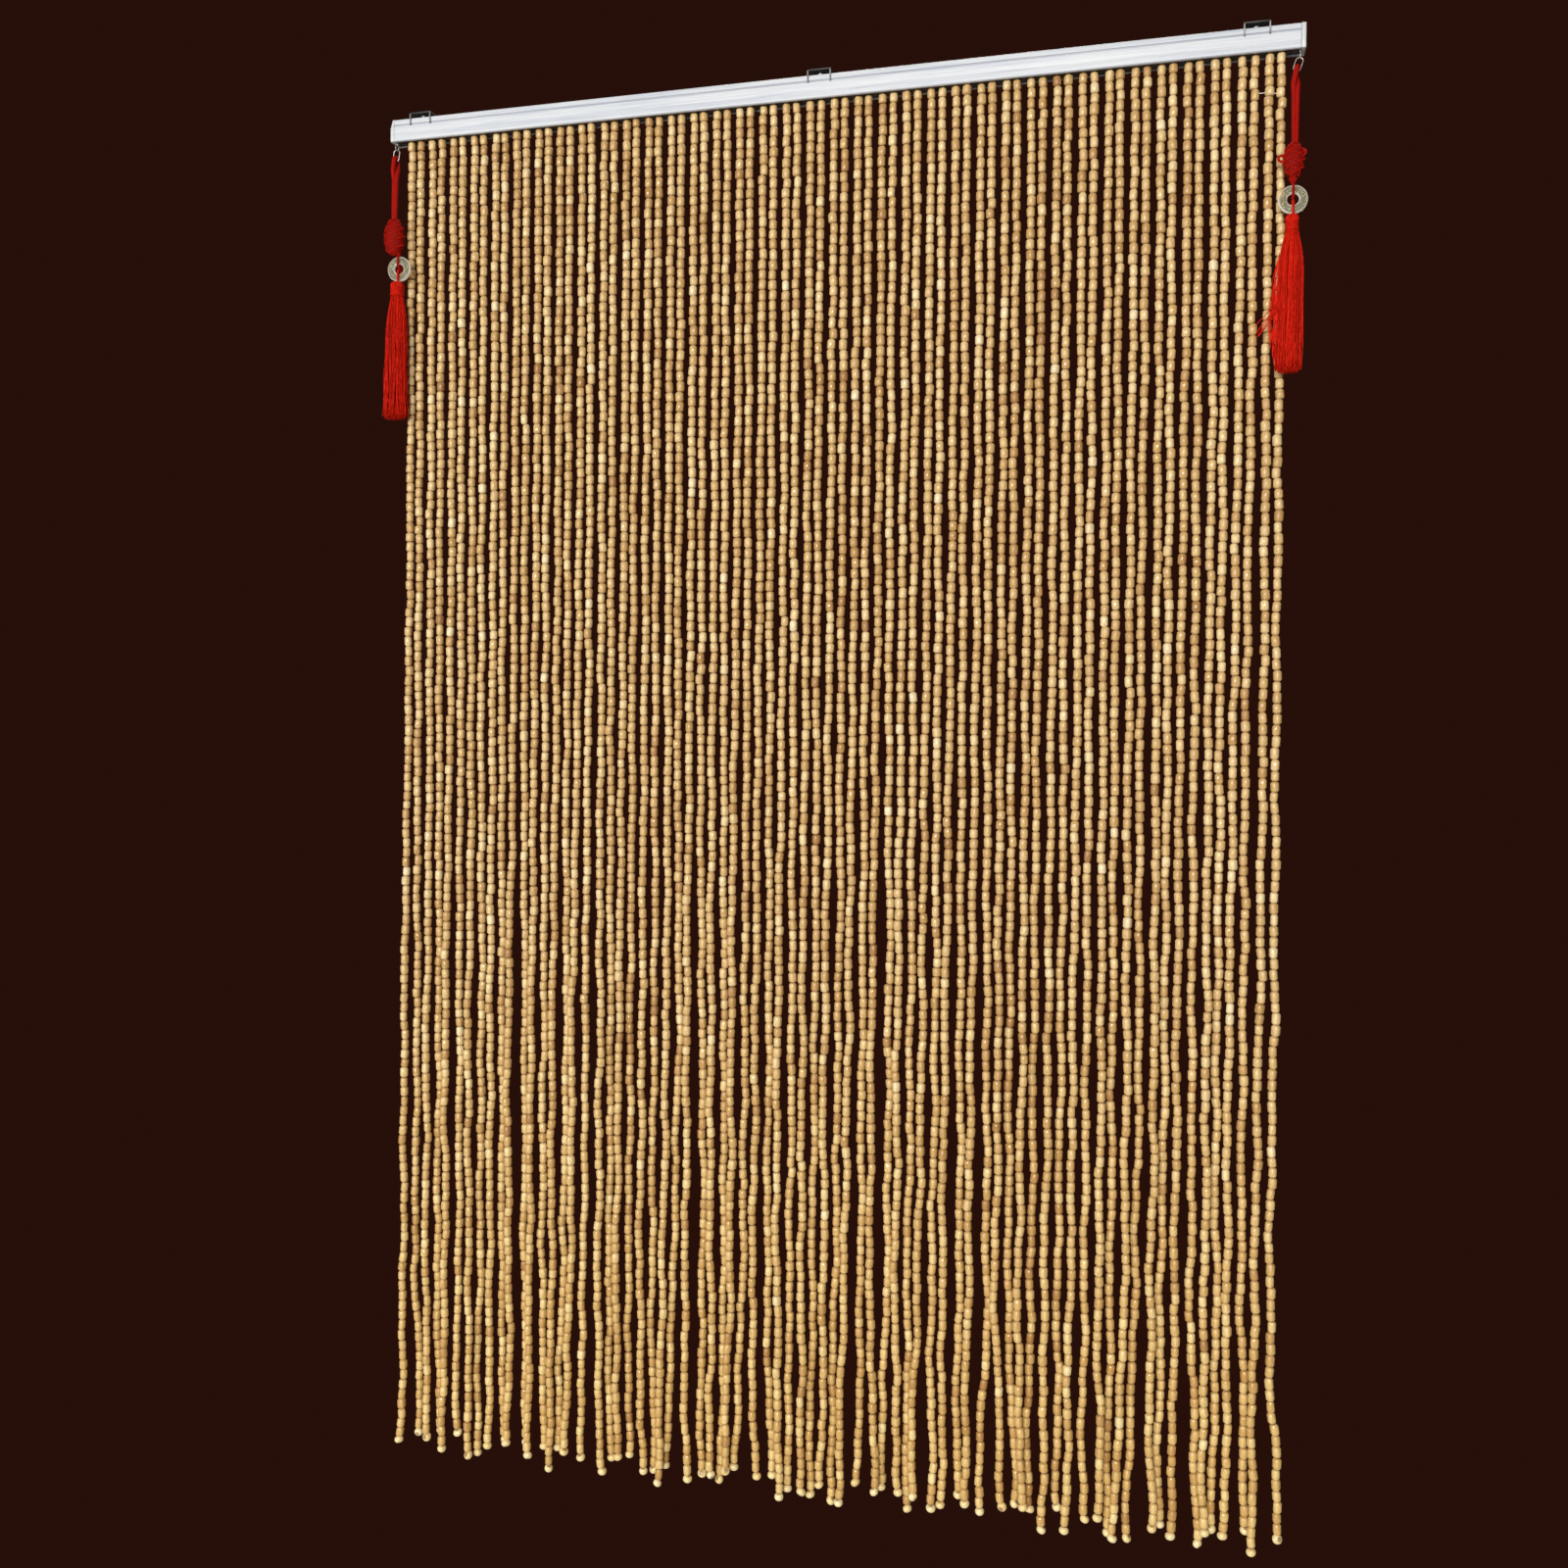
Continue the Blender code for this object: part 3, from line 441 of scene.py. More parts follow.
class Surface:
    """A Principled material with helpers for its nodes."""

    def __init__(self, name, colour, roughness, **settings):
        self.material = bpy.data.materials.new(name)
        self.material.use_nodes = True
        self.material.diffuse_color = (*colour, 1.0)
        self.tree = self.material.node_tree
        self.shader = self.tree.nodes["Principled BSDF"]
        self.link(Base_Color=colour, Roughness=roughness, **settings)

    def set(self, node, socket, value):
        """Link an output to a socket, or set the socket's own value."""
        target = node.inputs[socket]
        if isinstance(value, bpy.types.NodeSocket):
            self.tree.links.new(value, target)
        else:
            target.default_value = (*value, 1.0) if target.type == "RGBA" else value

    def link(self, **sockets):
        """Set or link the shader's own sockets."""
        for socket, value in sockets.items():
            self.set(self.shader, socket.replace("_", " "), value)

    def node(self, kind, output, sockets, **settings):
        """Add a node with its properties and sockets, and give back one of its outputs."""
        node = self.tree.nodes.new("ShaderNode" + kind)
        for name, value in settings.items():
            setattr(node, name, value)
        for socket, value in sockets.items():
            self.set(node, socket, value)
        return node.outputs[output]

    def place(self, scale):
        """Object coordinates, scaled along each axis."""
        return self.node("Mapping", "Vector", {"Vector": self.node("TexCoord", "Object", {}), "Scale": scale})

    def noise(self, scale, detail=3.0, roughness=0.55, distortion=0.0):
        """Noise at a size along each axis."""
        return self.node("TexNoise", "Fac", {"Vector": self.place(scale), "Scale": 1.0, "Detail": detail,
                                             "Roughness": roughness, "Distortion": distortion})

    def value(self, name):
        """A vertex value of the mesh."""
        return self.node("Attribute", "Fac", {}, attribute_name=name)

    def ramp(self, source, *stops):
        """A colour ramp with stops of place and colour."""
        output = self.node("ValToRGB", "Color", {"Fac": source})
        elements = output.node.color_ramp.elements
        while len(elements) < len(stops):
            elements.new(0.5)
        for element, (spot, colour) in zip(elements, stops):
            element.position = spot
            element.color = (*colour, 1.0)
        return output

    def span(self, source, low, high, new_low, new_high):
        """Map a value from one range to another."""
        return self.node("MapRange", "Result", {"Value": source, "From Min": low, "From Max": high,
                                                "To Min": new_low, "To Max": new_high})

    def mix(self, share, first, second, blend="MIX"):
        """Mix two colours; the numbers are the mix node's factor and colour sockets."""
        return self.node("Mix", 2, {0: share, 6: first, 7: second}, data_type="RGBA", blend_type=blend)

    def math(self, operation, first, second):
        """Work one value out from two."""
        return self.node("Math", "Value", {0: first, 1: second}, operation=operation)

    def bump(self, height, strength, distance):
        """Raise and lower the surface a little."""
        sockets = {"Height": height, "Strength": strength, "Distance": distance}
        self.link(Normal=self.node("Bump", "Normal", sockets))


def wood_surface():
    """Varnished bamboo wood: each bead its own tint, fine grain, darker ends that are partly painted shade in
    the joints, and painted warm light that turns it yellower low down.
    """
    surface = Surface("bead_wood_grain", (0.69, 0.47, 0.23), 0.4, Coat_Weight=0.32, Coat_Roughness=0.28)
    tint = surface.ramp(
        surface.value("tint"),
        (0.00, (0.39, 0.205, 0.068)),
        (0.25, (0.54, 0.335, 0.123)),
        (0.55, (0.68, 0.478, 0.212)),
        (0.80, (0.80, 0.640, 0.345)),
        (1.00, (0.93, 0.860, 0.670)),
    )
    grain = surface.noise((1500.0, 1500.0, 110.0), 4.0, 0.65)
    fleck = surface.noise((420.0, 420.0, 160.0), 3.0, 0.6)
    lines = surface.ramp(grain, (0.32, (0.68, 0.53, 0.38)), (0.52, (1.0, 1.0, 1.0)))
    colour = surface.mix(0.55, tint, lines, "MULTIPLY")
    patches = surface.ramp(fleck, (0.30, (0.76, 0.63, 0.49)), (0.60, (1.06, 1.04, 1.0)))
    colour = surface.mix(0.50, colour, patches, "MULTIPLY")
    # Painted warm light: the colour turns yellower towards the bottom of the curtain
    height = surface.node("SeparateXYZ", "Z", {0: surface.place((1.0, 1.0, 1.0))})
    painted_warm_light = surface.span(height, -0.80, -1.35, 0.0, 1.0)
    colour = surface.mix(painted_warm_light, colour, (1.06, 1.03, 0.82), "MULTIPLY")
    # Darker ends: partly the wood's own darker ends, partly painted shade in the joints between beads and, on
    # the end balls, in the string's hole
    ends = surface.math("MULTIPLY", surface.value("ends"), 0.28)
    colour = surface.mix(ends, colour, (0.20, 0.085, 0.018))
    rough = surface.math("ADD", surface.value("polish"), surface.span(fleck, 0.3, 0.7, -0.06, 0.10))
    surface.link(Base_Color=colour, Roughness=rough)
    surface.bump(surface.math("ADD", grain, fleck), 0.35, 0.00012)
    return surface.material


def rail_surface():
    """Satin white rail with a faint grey lengthwise grain, and painted shade in its groove and under its
    lower edge.
    """
    surface = Surface("white_rail_grain", (0.80, 0.81, 0.83), 0.38, Coat_Weight=0.2, Coat_Roughness=0.3)
    fine = surface.noise((14.0, 900.0, 900.0), 5.0, 0.7)
    broad = surface.noise((5.0, 260.0, 260.0), 3.0, 0.6, 0.4)
    streaks = surface.ramp(fine, (0.36, (0.70, 0.73, 0.80)), (0.56, (1.0, 1.0, 1.0)))
    bands = surface.ramp(broad, (0.34, (0.80, 0.83, 0.90)), (0.58, (1.0, 1.0, 1.0)))
    colour = surface.mix(0.70, (0.610, 0.632, 0.645), streaks, "MULTIPLY")
    colour = surface.mix(0.75, colour, bands, "MULTIPLY")
    # Painted shade: darker blue-grey in the groove and under the lower edge
    shade = surface.math("MULTIPLY", surface.value("shade"), 0.45)
    surface.link(Base_Color=surface.mix(shade, colour, (0.22, 0.24, 0.30)),
                 Roughness=surface.span(fine, 0.3, 0.7, 0.32, 0.50))
    surface.bump(fine, 0.25, 0.00005)
    return surface.material


def fibre_surface(name, colour, roughness, scale, detail, dark, pale, relief=0.0):
    """A dull surface between two tones of one fine noise."""
    surface = Surface(name, colour, roughness)
    fibre = surface.noise(scale, detail)
    surface.link(Base_Color=surface.ramp(fibre, (0.3, dark), (0.7, pale)))
    if relief:
        surface.bump(fibre, relief, 0.0001)
    return surface.material


def worn_surface(name, colour, worn, roughness, clouds, relief_scale, detail, relief, dulling, **settings):
    """Moulded plastic or metal, with cloudy wear and a fine tooth or scratches."""
    surface = Surface(name, colour, roughness, **settings)
    cloud = surface.noise((clouds, clouds, clouds))
    surface.link(Base_Color=surface.ramp(cloud, (0.35, worn), (0.62, colour)),
                 Roughness=surface.span(cloud, 0.3, 0.7, roughness + dulling, roughness - 0.05))
    surface.bump(surface.noise(relief_scale, detail), relief, 0.00004)
    return surface.material


def plastic_surface(name, colour, worn, roughness):
    """Moulded plastic."""
    return worn_surface(name, colour, worn, roughness, 130.0, (2600.0, 2600.0, 2600.0), 2.0, 0.25, 0.08)


def metal_surface(name, colour, dull, roughness):
    """Scratched metal."""
    return worn_surface(name, colour, dull, roughness, 420.0, (3200.0, 3200.0, 700.0), 3.0, 0.30, 0.15,
                        Metallic=1.0)


def red_surface(name, colour, deep, bright, scale, sheen):
    """Silky red thread or cord: fine fibres, deeper and brighter strands."""
    surface = Surface(name, colour, 0.5, Sheen_Weight=sheen, Sheen_Roughness=0.35,
                      Sheen_Tint=(1.0, 0.03, 0.01), Specular_IOR_Level=0.05)
    fibre = surface.noise(scale, 4.0, 0.65)
    threads = surface.ramp(fibre, (0.30, deep), (0.50, colour), (0.72, bright))
    # The tone value differs at random from thread to thread; the knot's core and ears also use it for painted
    # shade and painted highlight
    tone = surface.span(surface.value("tone"), 0.0, 1.0, 0.55, 1.25)
    toned = surface.node("VectorMath", "Vector", {0: threads, "Scale": tone}, operation="SCALE")
    surface.link(Base_Color=toned, Roughness=surface.span(fibre, 0.3, 0.7, 0.74, 0.52))
    surface.bump(fibre, 0.5, 0.0001)
    return surface.material


def glass_surface():
    """Clear ring with a faint grey-green body, a pale rim that is a painted reflection of the light its edges
    catch, and a slightly worn polish.
    """
    surface = Surface("clear_ring_glass", (0.90, 0.92, 0.86), 0.06, IOR=1.10, Specular_IOR_Level=0.35)
    cloud = surface.noise((160.0, 160.0, 160.0))
    body = surface.ramp(cloud, (0.35, (0.52, 0.49, 0.33)), (0.65, (0.68, 0.65, 0.48)))
    # Painted reflection: towards the rim the colour turns pale and the glass less clear, standing in for the
    # light its edges refract and reflect
    rim = surface.span(surface.value("rim"), 0.66, 0.94, 0.0, 1.0)
    surface.link(Base_Color=surface.mix(rim, body, (1.0, 0.985, 0.90)),
                 Transmission_Weight=surface.span(surface.value("rim"), 0.66, 0.94, 0.74, 0.22),
                 Roughness=surface.span(cloud, 0.3, 0.7, 0.07, 0.02))
    surface.bump(cloud, 0.08, 0.0001)
    return surface.material


# Each surface's material, and the part's material slot that it stands for
SURFACES = {
    "wood": (wood_surface(), "bead_wood"),
    "string": (fibre_surface("strand_string", (0.40, 0.27, 0.14), 0.85, (900.0, 900.0, 2600.0), 3.0,
                             (0.24, 0.14, 0.07), (0.50, 0.36, 0.20), 0.4), "bead_wood"),
    "nylon": (fibre_surface("nylon_thread", (0.85, 0.84, 0.80), 0.35, (2200.0, 2200.0, 2200.0), 2.0,
                            (0.72, 0.71, 0.66), (0.92, 0.91, 0.88)), "bead_wood"),
    "rail": (rail_surface(), "white_rail"),
    "cap": (plastic_surface("white_cap_plastic", (0.58, 0.60, 0.59), (0.52, 0.54, 0.53), 0.38),
            "cap_plastic"),
    # Painted shadow: the cap plugs and the holder strip are near black to stand for the shadow under the rail
    "plug": (plastic_surface("plug_and_strip_painted_shadow", (0.050, 0.040, 0.032), (0.080, 0.066, 0.055), 0.45),
             "cap_plastic"),
    # The clip plate is near black: a dark plastic, and painted shade for the gap over the rail
    "clip": (plastic_surface("dark_clip_plastic_and_painted_shade", (0.012, 0.011, 0.010), (0.022, 0.020, 0.018), 0.45),
             "clip_plastic"),
    "leg": (plastic_surface("grey_clip_leg", (0.20, 0.20, 0.19), (0.13, 0.13, 0.12), 0.40), "clip_plastic"),
    "screw": (metal_surface("dull_screw_steel", (0.55, 0.53, 0.50), (0.36, 0.34, 0.31), 0.38), "screw_steel"),
    "wire": (metal_surface("bright_bent_wire", (0.62, 0.57, 0.53), (0.36, 0.32, 0.29), 0.34), "bright_wire"),
    "cord": (red_surface("red_twisted_cord", (0.34, 0.006, 0.003), (0.13, 0.001, 0.001),
                         (0.54, 0.022, 0.010), (1600.0, 1600.0, 1600.0), 0.05), "red_cord"),
    "thread": (red_surface("red_silky_thread", (0.58, 0.010, 0.003), (0.26, 0.002, 0.001),
                           (0.88, 0.045, 0.012), (2400.0, 2400.0, 260.0), 0.10), "red_thread"),
    "glass": (glass_surface(), "clear_ring"),
}


# Headrail, caps, clips and screws

def rail_outline():
    """The channel's front in y and z, from the lip up to the top's front edge."""
    half = RAIL_DEPTH / 2
    edge_turns = [pi / 2 * step / RAIL_EDGE_STEPS for step in range(RAIL_EDGE_STEPS + 1)]
    outline = [(-half + RAIL_WALL + RAIL_LIP, RAIL_BOTTOM)]
    for turn in edge_turns:
        outline.append((-half + RAIL_EDGE * (1 - sin(turn)), RAIL_BOTTOM + RAIL_EDGE * (1 - cos(turn))))
    for share in HOLLOW_SHARES:
        dip = HOLLOW_DEPTH * sin(pi * (share - HOLLOW_SHARES[0]) / (HOLLOW_SHARES[-1] - HOLLOW_SHARES[0]))
        outline.append((-half + dip, RAIL_BOTTOM + RAIL_HEIGHT * share))
    for step in range(-4, 5):
        dip = GROOVE_DEPTH * cos(pi / 2 * step / 4) ** 1.2 if abs(step) < 4 else 0.0
        outline.append((-half + dip, GROOVE_Z + GROOVE_HALF_HEIGHT * step / 4))
    for turn in edge_turns:
        outline.append((-half + RAIL_EDGE * (1 - cos(turn)), RAIL_TOP - RAIL_EDGE * (1 - sin(turn))))
    return outline


def make_rail():
    """The channel: its outer skin, inner skin and lips drawn along X."""
    front = rail_outline()
    half = RAIL_DEPTH / 2 - RAIL_WALL
    lip = half - RAIL_LIP
    floor = RAIL_BOTTOM + RAIL_WALL
    top = RAIL_TOP - RAIL_WALL
    inner = [(lip, floor), (half, floor), (half, top), (-half, top), (-half, floor), (-lip, floor)]
    loop = np.array(front + [(-y, z) for y, z in reversed(front)] + inner)
    ends = RAIL_LENGTH / 2 - CAP_THICKNESS - GAP
    stations = np.linspace(-ends, ends, 13)
    points = [[(x, y, z) for y, z in loop] for x in stations]
    # Painted shade: the groove's points and the underside of the lower edge are marked for darkening in the
    # rail's colour
    in_groove = np.abs(loop[:, 1] - GROOVE_Z) < GROOVE_HALF_HEIGHT * 0.9
    low_edge = loop[:, 1] < RAIL_BOTTOM + RAIL_EDGE * 0.5
    shade = np.tile(np.maximum(in_groove, 0.6 * low_edge), len(stations))
    shape = Shape()
    shape.add(points, shell_faces(len(stations), len(loop)), shade=shade)
    place("rail_channel", shape, "rail", "headrail", 40, outwards=True)


def make_cap(side):
    """An end cap with softened edges, its plug in the rail's mouth."""
    outward = -1 if side == "left" else 1
    half = RAIL_DEPTH / 2
    outer_x = outward * RAIL_LENGTH / 2
    inner_x = outward * (RAIL_LENGTH / 2 - CAP_THICKNESS)
    ends = sorted((outer_x, inner_x))
    plate = rounded_box((ends[0], -half, RAIL_BOTTOM), (ends[1], half, RAIL_TOP), 0.0)
    if side == "left":
        cut_at = Vector((outer_x, 0.0, RAIL_TOP - CHAMFER_DROP))
        slope = Vector((outward * CHAMFER_DROP, 0.0, CHAMFER_RUN)).normalized()
        whole = plate.verts[:] + plate.edges[:] + plate.faces[:]
        bmesh.ops.bisect_plane(plate, geom=whole, plane_co=cut_at, plane_no=slope, clear_outer=True)
        bmesh.ops.holes_fill(plate, edges=[edge for edge in plate.edges if edge.is_boundary])
    bmesh.ops.bevel(plate, geom=plate.edges[:], offset=CAP_EDGE, segments=4, profile=0.5, affect="EDGES")
    bmesh.ops.recalc_face_normals(plate, faces=plate.faces)
    place(f"cap_{side}_moulding", box_shape(plate), "cap", f"end_cap_{side}", 50)
    ends = sorted((inner_x + outward * CAP_EDGE, inner_x - outward * CAP_PLUG_LENGTH))
    half = half - RAIL_WALL - GAP
    # Painted shadow: the plug is near black, as the shade under the rail
    plug = rounded_box((ends[0], -half, STRIP_Z), (ends[1], half, STRIP_Z + CAP_PLUG_HEIGHT), 0.0005, 2)
    place(f"cap_{side}_plug", box_shape(plug), "plug", f"end_cap_{side}", 50)


def make_clip(side):
    """A clip: the dark plate over the rail, whose near black colour is partly painted shade for the gap above
    the rail, and four slim hooked legs.
    """
    x = CLIP_X[side]
    inner = RAIL_DEPTH / 2 + GAP
    outer = inner + CLIP_LEG_THICKNESS
    half = CLIP_WIDTH / 2
    plate = rounded_box((x - half, -outer, -CLIP_PLATE), (x + half, outer, 0.0), 0.0003, 2)
    place(f"clip_{side}_plate", box_shape(plate), "clip", f"clip_{side}", 50)
    foot = GROOVE_Z - CLIP_LEG_TAIL
    nib = NIB_DEPTH + GAP
    outline = [(outer, -CLIP_PLATE * 0.6), (outer, foot + 0.0005), (outer - 0.0003, foot),
               (inner + 0.0002, foot), (inner, GROOVE_Z - nib), (inner - nib, GROOVE_Z),
               (inner, GROOVE_Z + nib), (inner, -CLIP_PLATE * 0.6)]
    legs = Shape()
    for end in (-1, 1):
        middle = x + end * (CLIP_WIDTH - CLIP_LEG_WIDTH) / 2
        for face in (-1, 1):
            slices = []
            for offset, tuck in ((-0.5, CLIP_LEG_EDGE), (-0.32, 0.0), (0.32, 0.0), (0.5, CLIP_LEG_EDGE)):
                slices.append([(middle + offset * CLIP_LEG_WIDTH,
                                face * (y - tuck if y > inner + tuck else y), z) for y, z in outline])
            legs.add(slices, shell_faces(len(slices), len(outline)))
    place(f"clip_{side}_legs", legs, "leg", f"clip_{side}", 40, outwards=True)


def make_screw(side):
    """The screw's pan head, with a cross recess, close under the clip's plate."""
    x = CLIP_X[side]
    top = -CLIP_PLATE - GAP
    low = top - SCREW_HEAD_HEIGHT
    radius = SCREW_HEAD_RADIUS
    rim = SCREW_HEAD_HEIGHT * 0.2
    profile = [(0.0002, top), (radius * 0.94, top), (radius, top - rim * 0.5), (radius, top - rim)]
    for step in range(1, 9):
        turn = pi / 2 * step / 9
        profile.append((radius * cos(turn), top - rim - (SCREW_HEAD_HEIGHT - rim) * sin(turn)))
    profile.append((0.0002, low))
    blank = Shape()
    turned(blank, profile, (x, 0.0, 0.0), 40)
    slots = [rounded_box((x - across, -along, low - 0.001), (x + across, along, low + RECESS_DEPTH), 0.0)
             for across, along in ((RECESS_REACH, RECESS_HALF_WIDTH), (RECESS_HALF_WIDTH, RECESS_REACH))]
    head = link_object("screw_blank", blank.mesh("screw_blank"))
    tool = link_object("screw_recess", box_shape(*slots).mesh("screw_recess"))
    face_outwards(head.data)
    face_outwards(tool.data)
    cut = head.modifiers.new("recess", "BOOLEAN")
    cut.operation = "DIFFERENCE"
    cut.object = tool
    cut.use_self = True
    graph = bpy.context.evaluated_depsgraph_get()
    mesh = bpy.data.meshes.new_from_object(head.evaluated_get(graph))
    bpy.data.objects.remove(head)
    bpy.data.objects.remove(tool)
    place(f"screw_{side}_head", mesh, "screw", f"screw_{side}", 35)


# Bead strings

def ease(start, end, value):
    """0 before start, 1 after end and a smooth step between."""
    share = np.clip((value - start) / (end - start), 0.0, 1.0)
    return share * share * (3.0 - 2.0 * share)


def strand_roots():
    """x of every strand at the holder strip, left to right."""
    pairs = (np.arange(PAIR_COUNT) - (PAIR_COUNT - 1) / 2) * PAIR_PITCH
    return np.sort(np.concatenate((pairs - PAIR_SPREAD / 2, pairs + PAIR_SPREAD / 2)))


def parting_shift(roots, depths):
    """How far the partings push each strand sideways at each level."""
    shift = np.zeros((len(roots), len(depths)))
    for centre, start, widest, opening, reach in PARTINGS:
        away = roots - centre
        push = np.sign(away) * np.exp(-np.abs(away) / reach) * opening / 2
        shift += push[:, None] * ease(start, widest, depths)
    return shift


def push_apart(row, least, step):
    """Move strands that are step places apart so that they keep at least their least distance."""
    lack = np.maximum(0.0, least - (row[step:] - row[:-step])) / 2
    row[step:] += lack
    row[:-step] -= lack


def strand_paths():
    """x, y and depth of every strand at every level, as the part has them but a little looser."""
    rng = np.random.default_rng(STRAND_SEED)
    roots = strand_roots()
    depths = STRAND_DROP * np.linspace(0.0, 1.0, LEVEL_COUNT) ** LEVEL_CROWDING
    count = len(roots)
    drift = np.cumsum(rng.normal(0.0, 1.0, (count, LEVEL_COUNT)), axis=1) / np.sqrt(LEVEL_COUNT)
    ripple = rng.normal(0.0, RIPPLE, (count, LEVEL_COUNT))
    growth = (depths / STRAND_DROP) ** SWAY_GROWTH
    growth[-1] *= FOOT_SWAY
    side = np.where(np.arange(count) % 2 == 0, -1.0, 1.0)[:, None]
    to_even = (PAIR_PITCH / 2 - PAIR_SPREAD) / 2
    evened = roots[:, None] + side * to_even * ease(0.0, PAIR_EVENS_OUT, depths)
    x = evened + (SWAY * drift + ripple) * growth + parting_shift(roots, depths)
    lane = ease(LANE_START, LANE_END, depths)
    for level in range(1, LEVEL_COUNT):
        free = lane[level - 1] == 1.0
        for _ in range(SETTLE_ROUNDS):
            push_apart(x[:, level], CROSSED_PITCH if free else TOUCHING_PITCH, 1)
            push_apart(x[:, level], TOUCHING_PITCH, 2)
    foot = STRAND_RAGGED * rng.uniform(0.0, 1.0, count) ** 2
    loosen(x, depths, lane)
    return x, side * LANE * lane, depths, foot


def loosen(x, depths, lane):
    """Let the strings of beads sway a little more than the stiff bars that stand in for them."""
    rng = np.random.default_rng(LOOSE_SEED)
    x += rng.normal(0.0, EXTRA_SWAY, len(x))[:, None] * ease(LANE_END, EXTRA_SWAY_END, depths)
    lean = rng.normal(0.0, EXTRA_FOOT_SWAY, len(x))[:, None] * ease(FOOT_SWAY_START, STRAND_DROP, depths)
    for level in np.flatnonzero(lane == 1.0):
        for _ in range(SETTLE_ROUNDS):
            push_apart(x[:, level], EVEN_PITCH, 1)
        x[:, level] += lean[:, level]
        for _ in range(SETTLE_ROUNDS):
            push_apart(x[:, level], LOOSE_PITCH, 1)
            push_apart(x[:, level], TOUCHING_PITCH, 2)


def strand_line(x, y, depths, foot, rng):
    """A strand's fine line from the strip to its foot, with small bends of its own."""
    depths = depths.copy()
    depths[-1] += foot
    line = smooth_path(np.column_stack((x, y, STRIP_Z - depths)), LINE_STEPS)
    deep = STRIP_Z - line[:, 2]
    growth = ease(0.0, 0.35, deep) * (1.0 + 0.9 * ease(0.5, 1.2, deep))
    for length in WAVE_LENGTHS:
        swing = STRAND_WAVE * length
        wave = np.sin(2 * pi * (deep / (length * rng.uniform(0.85, 1.15)) + rng.uniform()))
        line[:, 0] += swing * wave * growth
        line[:, 1] += 0.5 * swing * np.roll(wave, 20) * growth
    return line


def bead_edges(beaded, rng):
    """Where the beads of one strand begin and end along its beaded length."""
    count = int(round(beaded / BEAD_PITCH))
    lengths = 1.0 + np.clip(rng.normal(0.0, 0.05, count), -0.12, 0.12)
    return np.concatenate(([0.0], np.cumsum(lengths))) * beaded / lengths.sum()


def bead_section(rng, count):
    """Eight corners of each bead's section: a square with well rounded corners."""
    corner = rng.uniform(0.42, 0.60, count)
    ones = np.ones(count)
    across = np.stack((ones, corner, -corner, -ones, -ones, -corner, corner, ones), axis=1)
    upward = np.stack((corner, ones, ones, corner, -corner, -ones, -ones, -corner), axis=1)
    return across, upward


def add_beads(shape, line, along, edges, base_tint, rng):
    """All beads of one strand."""
    starts = on_line(line, along, edges[:-1] + BEAD_JOINT / 2)
    stops = on_line(line, along, edges[1:] - BEAD_JOINT / 2)
    count = len(starts)
    axis = stops - starts
    length = np.linalg.norm(axis, axis=1)
    centre = (starts + stops) / 2 + rng.normal(0.0, BEAD_OFFSET, (count, 3)) * (1.0, 1.0, 0.0)
    axis = unit(unit(axis) + rng.normal(0.0, BEAD_LEAN, (count, 3)))
    side = unit(np.cross(axis, (0.0, 1.0, 0.0)))
    yaw = rng.uniform(0.0, 2 * pi, count)[:, None]
    first = side * np.cos(yaw) + np.cross(axis, side) * np.sin(yaw)
    second = np.cross(axis, first)
    half = BEAD_FLAT_WIDTH / 2 * (1.0 + np.clip(rng.normal(0.0, 0.035, count), -0.08, 0.08))
    across, upward = bead_section(rng, count)
    rings = np.array(BEAD_RINGS)
    reach = np.repeat(rings[None, :, 1], count, axis=0)
    reach[:, 0] += rng.normal(0.0, 0.03, count)
    reach[:, -1] += rng.normal(0.0, 0.03, count)
    width = (half[:, None] * reach)[:, :, None, None]
    along_bead = (length[:, None] * rings[None, :, 0])[:, :, None, None]
    body = (centre[:, None, None] + axis[:, None, None] * along_bead
            + first[:, None, None] * across[:, None, :, None] * width
            + second[:, None, None] * upward[:, None, :, None] * width)
    each = len(rings) * BEAD_SIDES
    offsets = (np.arange(count) * each)[:, None, None]
    faces = [(part[:, ::-1] + offsets).reshape(-1, part.shape[1])
             for part in shell_faces(len(rings), BEAD_SIDES)]
    tint = base_tint + rng.normal(0.0, TINT_SPREAD, count) - 0.20 * (rng.uniform(0, 1, count) < DARK_SHARE)
    glossy = rng.uniform(0, 1, count) < GLOSSY_SHARE
    polish = np.where(glossy, rng.uniform(0.14, 0.24, count), rng.uniform(0.34, 0.56, count))
    # The end rings carry the end darkening: the wood's darker ends and painted shade in the joints
    shape.add(body, faces, tint=np.repeat(np.clip(tint, 0.0, 0.86), each), polish=np.repeat(polish, each),
              ends=np.tile(np.repeat(rings[:, 2], BEAD_SIDES), count))


def add_ball(shape, centre, rng):
    """The pale round bead that ends a strand, with a painted dark spot of shade for the hole at both ends of
    its tilted axis.
    """
    turn = pi * np.arange(1, BALL_ROWS + 1) / (BALL_ROWS + 1)
    wide = BALL_WIDTH / 2 * rng.uniform(0.94, 1.06)
    tilt = float(np.clip(rng.normal(0.0, BALL_TILT), -1.3, 1.3))
    heading = rng.uniform(0.0, pi)
    around = circle(BALL_STEPS)
    radius = wide * np.sin(turn) ** 0.85
    dent = 0.06 * wide * np.sin(turn)[:, None] * np.cos(around + rng.uniform(0, 6))
    upright = np.stack((radius[:, None] * np.cos(around), radius[:, None] * np.sin(around),
                        (BALL_HEIGHT / 2 * np.cos(turn))[:, None] + dent), axis=-1)
    turned_by = np.array(Matrix.Rotation(tilt, 3, Vector((cos(heading), sin(heading), 0.0))))
    faces = [part[:, ::-1] for part in shell_faces(BALL_ROWS, BALL_STEPS)]
    # Painted shade: the rings at the poles take a strong end darkening in place of the hole's shade
    shape.add(upright @ turned_by.T + centre, faces, tint=rng.uniform(0.78, 0.93),
              polish=rng.uniform(0.25, 0.45), ends=np.repeat((np.abs(np.cos(turn)) > 0.93) * 2.6, BALL_STEPS))


